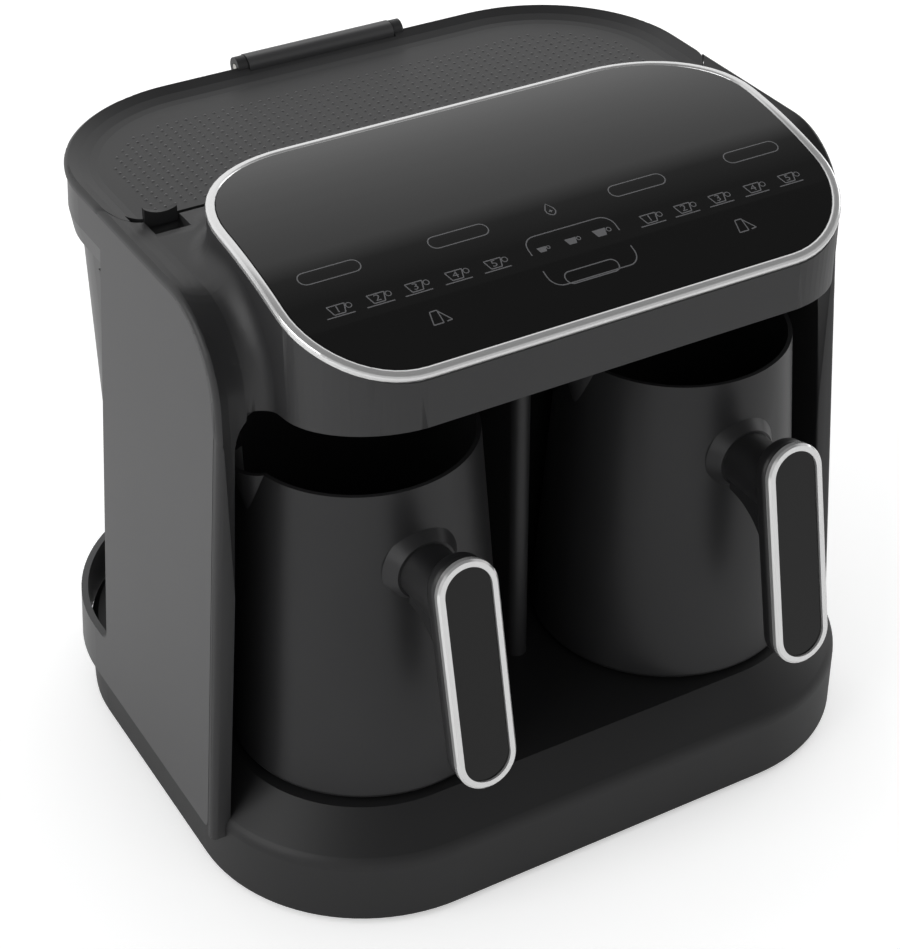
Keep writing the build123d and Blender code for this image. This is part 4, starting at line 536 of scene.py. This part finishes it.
# %% Finishes by solid
FINISHES = {
    charcoal_abs: ["main_housing"],
    painted_shade_base_abs: ["base_housing"],
    lid_abs: ["tank_lid"],
    cover_abs: ["left_side_cover", "right_side_cover", "hinge_block"],
    tank_plastic: ["water_tank"],
    chrome: ["panel_trim_ring", "left_handle_ring", "right_handle_ring"],
    panel_glass: ["control_glass"],
    piano_black: ["left_handle_inlay", "right_handle_inlay"],
    pot_coating: ["left_pot_body", "right_pot_body"],
    zinc_steel: ["base_screws", "rear_panel_screws", "left_handle_screw", "right_handle_screw"],
    spring_steel: ["valve_spring", "lid_hinge_pin"],
    aluminium: ["left_heating_plate", "right_heating_plate"],
    black_rubber: ["rubber_feet", "dock_seal", "valve_seal"],
    clear_silicone: [
        "left_inlet_hose", "right_inlet_hose", "left_outlet_hose", "right_outlet_hose",
    ],
    circuit_board: ["control_board", "power_board"],
    white_nylon: ["left_pump", "right_pump"],
}
dressed = {name: finish for finish, names in FINISHES.items() for name in names}
for name, solid in nodes.items():
    solid.data.materials.clear()
    solid.data.materials.append(dressed.get(name, black_nylon))
print("finishes:", len(FINISHES) + 1, "on", len(nodes), "solids")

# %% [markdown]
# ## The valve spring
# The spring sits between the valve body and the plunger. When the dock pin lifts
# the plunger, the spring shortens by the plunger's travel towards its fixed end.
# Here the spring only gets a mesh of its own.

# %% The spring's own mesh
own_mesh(nodes["valve_spring"])

# %% [markdown]
# ## Pieces made with bmesh
# Every new piece is built by bmesh operators in the machine's own coordinates
# and then rides on the body that carries it, so it moves with that body.


# %% Make a piece
def finish_piece(name, shape, material, body, smooth=True):
    """Turn a bmesh into an object with a material that rides on a body."""
    mesh = bpy.data.meshes.new(name)
    shape.to_mesh(mesh)
    shape.free()
    mesh.materials.append(material)
    for face in mesh.polygons:
        face.use_smooth = smooth
    piece = bpy.data.objects.new(name, mesh)
    bpy.context.scene.collection.objects.link(piece)
    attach(piece, body)
    print(name, len(mesh.polygons), "faces")
    return piece


# %% [markdown]
# ## Grip dots on the lid
# The sunk field of the lid carries a square grid of low studs, about 3.8 mm
# apart, which keep a wet finger from slipping. Each is a flat-topped cone with few
# sides, because hundreds of them have to stay light. It starts a little below the
# floor of the field, so that no gap shows under it. The mould is polished at the
# studs, so they are smoother than the field. Their colour is painted lighter than
# the lid's plastic: a painted highlight that stands in for the light that studs
# this small catch, which would be lost otherwise.

# %% Grip dots
LID_FLOOR_Z = 231.0 * MM
DOT_PITCH_X = 3.75 * MM
DOT_PITCH_Y = 3.81 * MM
DOT_LAST_ROW = 91.4 * MM
DOT_ROWS = 16
DOT_COLUMNS = 28              # each side of the middle one
DOT_R = 0.75 * MM
DOT_TOP_R = DOT_R * 0.45
DOT_RISE = 0.3 * MM
DOT_SINK = 0.1 * MM
DOT_SIDES = 8
FIELD_HALF = 107 * MM
FIELD_REAR = DOT_LAST_ROW + 1 * MM
FIELD_CORNER = 34 * MM

dots = bmesh.new()
for row in range(DOT_ROWS):
    y = DOT_LAST_ROW - row * DOT_PITCH_Y
    for column in range(-DOT_COLUMNS, DOT_COLUMNS + 1):
        x = column * DOT_PITCH_X
        past_x = max(abs(x) - (FIELD_HALF - FIELD_CORNER), 0)
        past_y = max(y - (FIELD_REAR - FIELD_CORNER), 0)
        if sqrt(past_x ** 2 + past_y ** 2) > FIELD_CORNER:
            continue
        bmesh.ops.create_cone(
            dots, cap_ends=True, segments=DOT_SIDES, radius1=DOT_R, radius2=DOT_TOP_R,
            depth=DOT_RISE + DOT_SINK,
            matrix=Matrix.Translation((x, y, LID_FLOOR_Z + DOT_RISE / 2 - DOT_SINK / 2)),
        )
# The studs' pale grey is a painted highlight, not a colour of the plastic.
dot_abs_painted_highlight = moulded_plastic("polished_dots_painted_highlight", "#5a5a5b", 0.8, 0.2, 0.34)
dot_piece = finish_piece("lid_grip_dots", dots, dot_abs_painted_highlight, "lid")

# %% [markdown]
# ## The arched control panel
# Seen from the side, the panel of the machine is a shallow arch: it droops towards
# the user, and so does the hood under it. The solids carry the same pieces on a
# flat plane, so the panel's pieces are made again here. Each is drawn flat, as a
# rounded rectangle in plan, cut across into narrow strips, and then bent onto a
# cylinder that lies across the machine. Measures from here on are in millimetres,
# and arch_point turns them to metres.

# %% The arch
PANEL_HALF = 104.0            # crown line of the ring, in plan
PANEL_FRONT = -94.6
PANEL_REAR = 22.0
PANEL_FRONT_R = 34.2
PANEL_REAR_R = 41.7
ARCH_R = 213.8                # the cylinder, and where its axis lies
ARCH_Y = 2.5
ARCH_Z = 35.1
STRIP = 3.0                   # the cuts across are this far apart
CORNER_SEGMENTS = 14


def arch_point(x, y, rise):
    """Place a flat plan point, raised by a height, on the arch, in metres."""
    turn = asin((y - ARCH_Y) / ARCH_R)
    reach = ARCH_R + rise
    return Vector((x, ARCH_Y + reach * sin(turn), ARCH_Z + reach * cos(turn))) * MM


def cut_across(shape, start, end, step, unit=1.0):
    """Cut a shape at even steps along Y, so that it can bend.

    The steps are in millimetres, and unit is what one measures in the shape.
    """
    y = start + step
    while y < end:
        bmesh.ops.bisect_plane(
            shape, geom=shape.verts[:] + shape.edges[:] + shape.faces[:],
            plane_co=(0, y * unit, 0), plane_no=(0, 1, 0),
        )
        y += step


def bend_to_arch(shape):
    """Cut a flat shape into strips and lay them on the arch."""
    cut_across(shape, PANEL_FRONT, PANEL_REAR, STRIP)
    for vert in shape.verts:
        vert.co = arch_point(*vert.co)
    bmesh.ops.recalc_face_normals(shape, faces=shape.faces)


def panel_plan(inset, rise):
    """One flat face with the plan outline of the panel, drawn in millimetres."""
    sheet = bmesh.new()
    half = PANEL_HALF - inset
    front, rear = PANEL_FRONT + inset, PANEL_REAR - inset
    corners = [
        sheet.verts.new((x, y, rise))
        for x, y in ((-half, front), (half, front), (half, rear), (-half, rear))
    ]
    sheet.faces.new(corners)
    for pair, radius in ((corners[:2], PANEL_FRONT_R), (corners[2:], PANEL_REAR_R)):
        bmesh.ops.bevel(
            sheet, geom=pair, offset=radius - inset, offset_type="OFFSET",
            segments=CORNER_SEGMENTS, profile=0.5, affect="VERTICES", material=-1,
        )
    return sheet


def extrude_up(shape, height):
    """Raise every face by a height and close the sides."""
    grown = bmesh.ops.extrude_face_region(shape, geom=shape.faces[:])["geom"]
    lifted = [part for part in grown if isinstance(part, bmesh.types.BMVert)]
    bmesh.ops.translate(shape, verts=lifted, vec=(0, 0, height))


def sharpen(piece, degrees):
    """Shade the edges that turn by more than an angle as sharp."""
    piece.data.set_sharp_from_angle(angle=radians(degrees))


print("arch:", [round(v / MM, 1) for v in arch_point(0, PANEL_FRONT, 0)], "mm at the front")

# %% [markdown]
# ## Trim ring
# The bright ring is a narrow plated frame with a rounded top. An inset parts its
# outline from the middle, the middle is taken out, and the rest is raised. The two
# upper edges are then bevelled while the ring is still flat, because an even
# bevel is easiest on a flat piece.

# %% Trim ring
RING_WIDTH = 3.4
RING_HEIGHT = 2.4
RING_BEVEL = 1.2
RING_BEVEL_SEGMENTS = 4
TOP_BAND = 0.01               # a vertex this close to height 0 lies at the top

ring = panel_plan(-RING_WIDTH / 2, -RING_HEIGHT)
bmesh.ops.inset_region(
    ring, faces=ring.faces[:], thickness=RING_WIDTH, use_even_offset=True, use_boundary=True,
)
middle = max(ring.faces, key=lambda face: face.calc_area())
bmesh.ops.delete(ring, geom=[middle], context="FACES")
extrude_up(ring, RING_HEIGHT)
top_edges = [                 # level edges at the top that border an upright wall
    edge for edge in ring.edges
    if all(abs(vert.co.z) < TOP_BAND for vert in edge.verts)
    and any(abs(face.normal.z) < 0.5 for face in edge.link_faces)
]
bmesh.ops.bevel(
    ring, geom=top_edges, offset=RING_BEVEL, offset_type="OFFSET",
    segments=RING_BEVEL_SEGMENTS, profile=0.5, affect="EDGES", material=-1,
)
bend_to_arch(ring)
ring_piece = finish_piece("arched_trim_ring", ring, chrome, "housing")
sharpen(ring_piece, 55)
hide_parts("panel_trim_ring")

# %% [markdown]
# ## Glass and touch film
# The glass fills the ring and lies a little below its crown, so that the plating
# shields its edge. Under it hangs the touch film, a thin printed board that
# follows the same arch. Both are the ring's outline, inset and given a thickness.

# %% Glass and touch film
GLASS_T = 2.2
GLASS_DROP = 0.5              # below the ring's crown
GLASS_GAP = 0.1               # between the glass and the ring
FILM_T = 1.0
FILM_DROP = 7.0
FILM_INSET = 16.0

pane = panel_plan(RING_WIDTH / 2 + GLASS_GAP, -GLASS_DROP - GLASS_T)
extrude_up(pane, GLASS_T)
bend_to_arch(pane)
glass_piece = finish_piece("arched_control_glass", pane, panel_glass, "housing")
sharpen(glass_piece, 30)
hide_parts("control_glass")

film = panel_plan(FILM_INSET, -FILM_DROP - FILM_T)
extrude_up(film, FILM_T)
bend_to_arch(film)
film_piece = finish_piece("arched_touch_film", film, circuit_board, "housing")
sharpen(film_piece, 30)
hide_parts("control_board")

# %% [markdown]
# ## Shell of the hood
# The housing under the panel is the solid's own mesh with its panel end eased onto
# the arch, so that all the rest of it stays exactly as it is. A copy of the mesh
# is merged and cut across, and then a rule moves each point of the pod: along Y
# with the nearer end of the panel, up or down with the arch, and at the corners
# inwards, because the panel's real corners are rounder. The rule fades out over
# the fillet between the pod and the shoulders. A lattice could bend the pod too,
# but a rule says what each step is for.


# %% Easing, and the distance from an outline
def ease(low, high, value):
    """0 below low, 1 above high, smooth between."""
    t = min(max((value - low) / (high - low), 0), 1)
    return t * t * (3 - 2 * t)


def outline_gap(x, y, half, front, rear, radius):
    """Distance outside a rounded rectangle, and the way out of it."""
    middle = (front + rear) / 2
    across = abs(x) - half + radius
    along = abs(y - middle) - (rear - front) / 2 + radius
    out = Vector((max(across, 0), max(along, 0)))
    gap = out.length + min(max(across, along), 0) - radius
    way = out.normalized() if out.length > 0 else Vector((1, 0))
    side = (1 if x > 0 else -1, 1 if y > middle else -1)
    return gap, Vector((way.x * side[0], way.y * side[1]))


# %% Rule for the hood
FLAT_FRONT = -106.2           # crown line of the ring on the solid
FLAT_REAR = 16.5
FLAT_Z = 233.8                # its height at the front
FLAT_SLOPE = tan(radians(7.96))
POD_OUT = 1.2                 # the pod's wall lies this far outside the crown line
POD_R = 33.2
POD_FILLET = 7.5              # width of its blend into the shoulders
ROOF_Z = 197.0                # level roof of the bays
WEDGE_REAR = -47.0            # the roof climbs towards the user from here
WEDGE_SLOPE = 10.0 / 60.4
FRONT_EASE = (-74.0, -53.0)   # the front end's shift fades out between these
REAR_EASE = (-12.0, 16.0)     # and the rear end's sets in between these
FRONT_RISE = (ROOF_Z, ROOF_Z + 8)
REAR_RISE = (231.0, 239.0)    # heights over which the walls start to follow
ROUNDING = 0.05               # a point this little below the roof is still at it


def end_shift(y, z):
    """How far a point moves along Y with the nearer end of the panel."""
    shift = (PANEL_FRONT - FLAT_FRONT) * (1 - ease(*FRONT_EASE, y))
    return shift + (PANEL_REAR - FLAT_REAR) * ease(*REAR_EASE, y) * ease(*REAR_RISE, z)


def roof(y):
    """Height of the bays' roof, which is the underside of the hood."""
    return ROOF_Z + max(WEDGE_REAR - y, 0) * WEDGE_SLOPE


def arch_lift(y, z, shift):
    """How far a point moves up: with the arch at the ring, with the roof below."""
    flat = FLAT_Z + (y - FLAT_FRONT) * FLAT_SLOPE
    arched = ARCH_Z + sqrt(ARCH_R ** 2 - (y + shift - ARCH_Y) ** 2)
    height = min(max((z - roof(y)) / (flat - RING_HEIGHT - roof(y)), 0), 1)
    return height * (arched - flat) + (1 - height) * (roof(y + shift) - roof(y))


def ease_to_arch(point):
    """Move a point of the solid hood to its place on the arched hood."""
    x, y, z = point / MM
    flat_pod = (PANEL_HALF + POD_OUT, FLAT_FRONT - POD_OUT, FLAT_REAR + POD_OUT, POD_R)
    share = 1 - ease(0, POD_FILLET, outline_gap(x, y, *flat_pod)[0])
    if z < ROOF_Z - ROUNDING or share == 0:
        return point
    shift = end_shift(y, z)
    new_y = y + shift * share
    new_z = z + arch_lift(y, z, shift) * share
    corner, rise = (PANEL_FRONT_R, FRONT_RISE) if y < 0 else (PANEL_REAR_R, REAR_RISE)
    sides = (PANEL_HALF + POD_OUT, PANEL_FRONT - POD_OUT, PANEL_REAR + POD_OUT)
    gap, way = outline_gap(x, new_y, *sides, corner + POD_OUT)
    pull = (gap - outline_gap(x, new_y, *sides, POD_R)[0]) * share * ease(*rise, z)
    return Vector((x - way.x * pull, new_y - way.y * pull, new_z)) * MM


# %% The shell
SHELL_STRIP = 4.0
MERGE = 0.005                 # points this close are one

shell = bmesh.new()
shell.from_mesh(nodes["main_housing"].data)
bmesh.ops.remove_doubles(shell, verts=shell.verts, dist=MERGE * MM)
cut_across(shell, FLAT_FRONT, FLAT_REAR, SHELL_STRIP, MM)
for vert in shell.verts:
    vert.co = ease_to_arch(vert.co)
shell_piece = finish_piece("arched_hood_shell", shell, charcoal_abs, "housing")
sharpen(shell_piece, 25)
shell_piece.modifiers.new("even_normals", "WEIGHTED_NORMAL").keep_sharp = True
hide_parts("main_housing")

# %% [markdown]
# ## Ink and signs
# The panel's signs are printed in one grey ink: bare pill outlines, cups with a
# plain digit, small jugs, a drop and a framed group of cups. Each sign is a set of
# thin flat shapes, drawn in plan and laid on the arch a hair above the glass. They
# could be an image on the glass instead, but flat shapes stay sharp at any size
# and need no file.

# %% Ink and laying on the glass
PRINT_LIFT = 0.06             # above the glass, so that it isn't buried
INK_FILM_MM = 0.8


def print_finish(name, colour):
    """Screen-printed ceramic ink with a slightly uneven film."""
    made, tree = new_material(name)
    spot = add_node(tree, "ShaderNodeTexCoord").outputs["Object"]
    film = add_node(tree, "ShaderNodeTexNoise", {
        "Vector": spot, "Scale": 1 / (INK_FILM_MM * MM), "Detail": 2.0,
    })
    tone = add_node(tree, "ShaderNodeMix", {
        "Factor": film.outputs["Fac"], MIX_A: linear(colour),
        MIX_B: tuple(c * 1.15 for c in linear(colour)[:3]) + (1.0,),
    }, data_type="RGBA")
    give_surface(tree, add_node(tree, "ShaderNodeBsdfPrincipled", {
        "Base Color": tone.outputs[MIX_COLOUR], "Roughness": 0.25, "IOR": 1.5,
    }))
    return made


print_ink = print_finish("grey_ceramic_print", "#626264")


def printed_sign(name, shape):
    """Lay flat shapes, drawn in millimetres in plan, onto the glass."""
    for vert in shape.verts:
        vert.co = arch_point(vert.co.x, vert.co.y, PRINT_LIFT - GLASS_DROP)
    bmesh.ops.recalc_face_normals(shape, faces=shape.faces)
    for face in shape.faces:
        if face.normal.z < 0:
            face.normal_flip()
    piece = finish_piece(name, shape, print_ink, "housing", smooth=False)
    return piece


# %% [markdown]
# ## Strokes
# Every sign is drawn with strokes of one width, as a pen would. A closed stroke is
# a band of faces along a loop of points, and an open one is a single thin face.


# %% Strokes and outlines
LINE = 0.42                   # width of a stroke


def stroke_loop(shape, points, width=LINE):
    """Closed outline of a given width through flat points."""
    count = len(points)
    inner, outer = [], []
    for i, point in enumerate(points):
        before = Vector(points[i - 1])
        after = Vector(points[(i + 1) % count])
        along = (after - before).normalized()
        side = Vector((along.y, -along.x)) * width / 2
        inner.append(shape.verts.new((point[0] - side.x, point[1] - side.y, 0)))
        outer.append(shape.verts.new((point[0] + side.x, point[1] + side.y, 0)))
    for i in range(count):
        j = (i + 1) % count
        shape.faces.new((inner[i], inner[j], outer[j], outer[i]))


def stroke_line(shape, start, end, width=LINE):
    """Straight flat line with square ends."""
    start, end = Vector(start), Vector(end)
    along = (end - start).normalized()
    side = Vector((along.y, -along.x)) * width / 2
    corners = [start - side, start + side, end + side, end - side]
    shape.faces.new([shape.verts.new((c.x, c.y, 0)) for c in corners])


def stroke_polygon(shape, corners):
    """Straight lines from corner to corner and back to the first."""
    for start, end in zip(corners, corners[1:] + corners[:1]):
        stroke_line(shape, start, end)


def rounded_points(x, y, width, height, radius, steps=6):
    """Points round a rounded rectangle."""
    right, left = x + width / 2 - radius, x - width / 2 + radius
    low, high = y - height / 2 + radius, y + height / 2 - radius
    points = []
    for cx, cy, start in (
        (right, low, -90), (right, high, 0), (left, high, 90), (left, low, 180),
    ):
        for step in range(steps + 1):
            angle = radians(start + 90 * step / steps)
            points.append((cx + radius * cos(angle), cy + radius * sin(angle)))
    return points


# %% [markdown]
# ## Pills and the framed group
# Four bare pill outlines mark the modes. The group in the middle has a frame with
# rounded corners and a pill along its lower edge. Each outline is given by its
# middle in plan, its width, its height and the radius of its corners.

# %% Mode pills and the framed group
PILL_SPOTS = ((-81.8, -50.9), (-34.8, -51.1), (34.7, -51.0), (82.0, -50.8))
PILL_SIZE = (22.0, 5.3, 2.64)          # width, height, radius of the ends
GROUP_FRAME = (0.6, -70.3, 33.8, 20.8, 4.5)
GROUP_PILL = (-0.7, -78.9, 20.2, 4.7, 2.3)

pills = bmesh.new()
for x, y in PILL_SPOTS:
    stroke_loop(pills, rounded_points(x, y, *PILL_SIZE))
printed_sign("panel_mode_pills", pills)

group = bmesh.new()
for outline in (GROUP_FRAME, GROUP_PILL):
    stroke_loop(group, rounded_points(*outline))
printed_sign("panel_cup_frame", group)

# %% [markdown]
# ## Cups, jugs and the drop
# A numbered cup is a bowl, an ear and a saucer, all in outline. The three cups of
# the framed group are small, filled and without a saucer. All their measures are
# shares of the cup's size, so one function draws every cup. The slope of the glass
# makes a sign taller than its plan, so its plan is drawn lower.


# %% Cups
SLANT = 0.79                  # a sign's height in plan over its height on the glass
NUMBERED_CUPS = (             # middle of each cup, from left to right
    (-86.7, -72.6, -58.9, -44.3, -29.9),
    (30.2, 43.9, 57.9, 72.5, 86.9),
)
CUP_ROW = -65.9
CUP_SIZE = 6.2
SMALL_CUPS = ((-11.7, 3.6), (-0.5, 4.4), (10.7, 5.2))
EAR_LINE = LINE * 0.8


def cup_sign(shape, x, y, size, filled):
    """Small cup with an ear on the right, filled or on a saucer."""
    rim, foot, top = 0.50 * size, 0.32 * size, 0.36 * size * SLANT
    ear_r = 0.16 * size
    bowl = [(x - rim, y + top), (x - foot, y - top), (x + foot, y - top), (x + rim, y + top)]
    if filled:
        shape.faces.new([shape.verts.new((px, py, 0)) for px, py in bowl])
    else:
        stroke_polygon(shape, bowl)
    ear = [
        (x + rim + ear_r + ear_r * cos(a), y + (0.1 + 0.2 * sin(a)) * size * SLANT)
        for a in (pi * k / 6 for k in range(12))
    ]
    stroke_loop(shape, ear, EAR_LINE)
    if not filled:
        saucer_y, saucer_half = y - 0.52 * size * SLANT, 0.8 * size
        stroke_line(shape, (x - saucer_half, saucer_y), (x + saucer_half, saucer_y))


cups = bmesh.new()
for row in NUMBERED_CUPS:
    for x in row:
        cup_sign(cups, x, CUP_ROW, CUP_SIZE, False)
for x, size in SMALL_CUPS:
    cup_sign(cups, x, CUP_ROW, size, True)
printed_sign("panel_cup_signs", cups)

# %% Jugs and the drop
JUG_SPOTS = ((-58.4, -78.7), (59.1, -78.5))
JUG_BODY = ((-2.4, -2.4), (1.2, -2.4), (1.2, 2.4), (-1.4, 2.4))
JUG_HANDLE = ((1.2, 2.1), (4.4, -2.1), (2.4, -2.3))
DROP = (
    (0.2, -48.0), (1.8, -50.6), (1.9, -52.0), (1.2, -53.1), (0.2, -53.6),
    (-0.8, -53.1), (-1.5, -52.0), (-1.4, -50.6),
)
PLUS = (((-0.5, -51.6), (0.9, -51.6)), ((0.2, -52.2), (0.2, -51.0)))

jugs = bmesh.new()
for x, y in JUG_SPOTS:
    stroke_polygon(jugs, [(x + dx, y + dy) for dx, dy in JUG_BODY])
    handle = [(x + dx, y + dy) for dx, dy in JUG_HANDLE]
    for start, end in zip(handle, handle[1:]):
        stroke_line(jugs, start, end)
stroke_loop(jugs, DROP)
for start, end in PLUS:
    stroke_line(jugs, start, end)
printed_sign("panel_jug_signs", jugs)

# %% [markdown]
# ## Digits
# Digits are the one place where Blender's text object is the quick way: each is
# typed, turned into a mesh, and moved into its cup.

# %% Digits
DIGIT_SIZE = 4.6

digits = bmesh.new()
for row in NUMBERED_CUPS:
    for number, x in enumerate(row, start=1):
        text = bpy.data.curves.new("digit", "FONT")
        text.body = str(number)
        text.size = DIGIT_SIZE
        text.align_x = "CENTER"
        text.align_y = "CENTER"
        typed = bpy.data.objects.new("digit", text)
        flat = bpy.data.meshes.new_from_object(typed)
        flat.transform(Matrix.Translation((x, CUP_ROW, 0)) @ Matrix.Diagonal((1, SLANT, 1, 1)))
        digits.from_mesh(flat)
        bpy.data.objects.remove(typed)
        bpy.data.curves.remove(text)
        bpy.data.meshes.remove(flat)
printed_sign("panel_digits", digits)

# %% [markdown]
# ## Last steps
# The view is set to plain sRGB output, so that a colour comes out as its hex code
# says.

# %% Output settings
bpy.context.scene.view_settings.view_transform = "Standard"
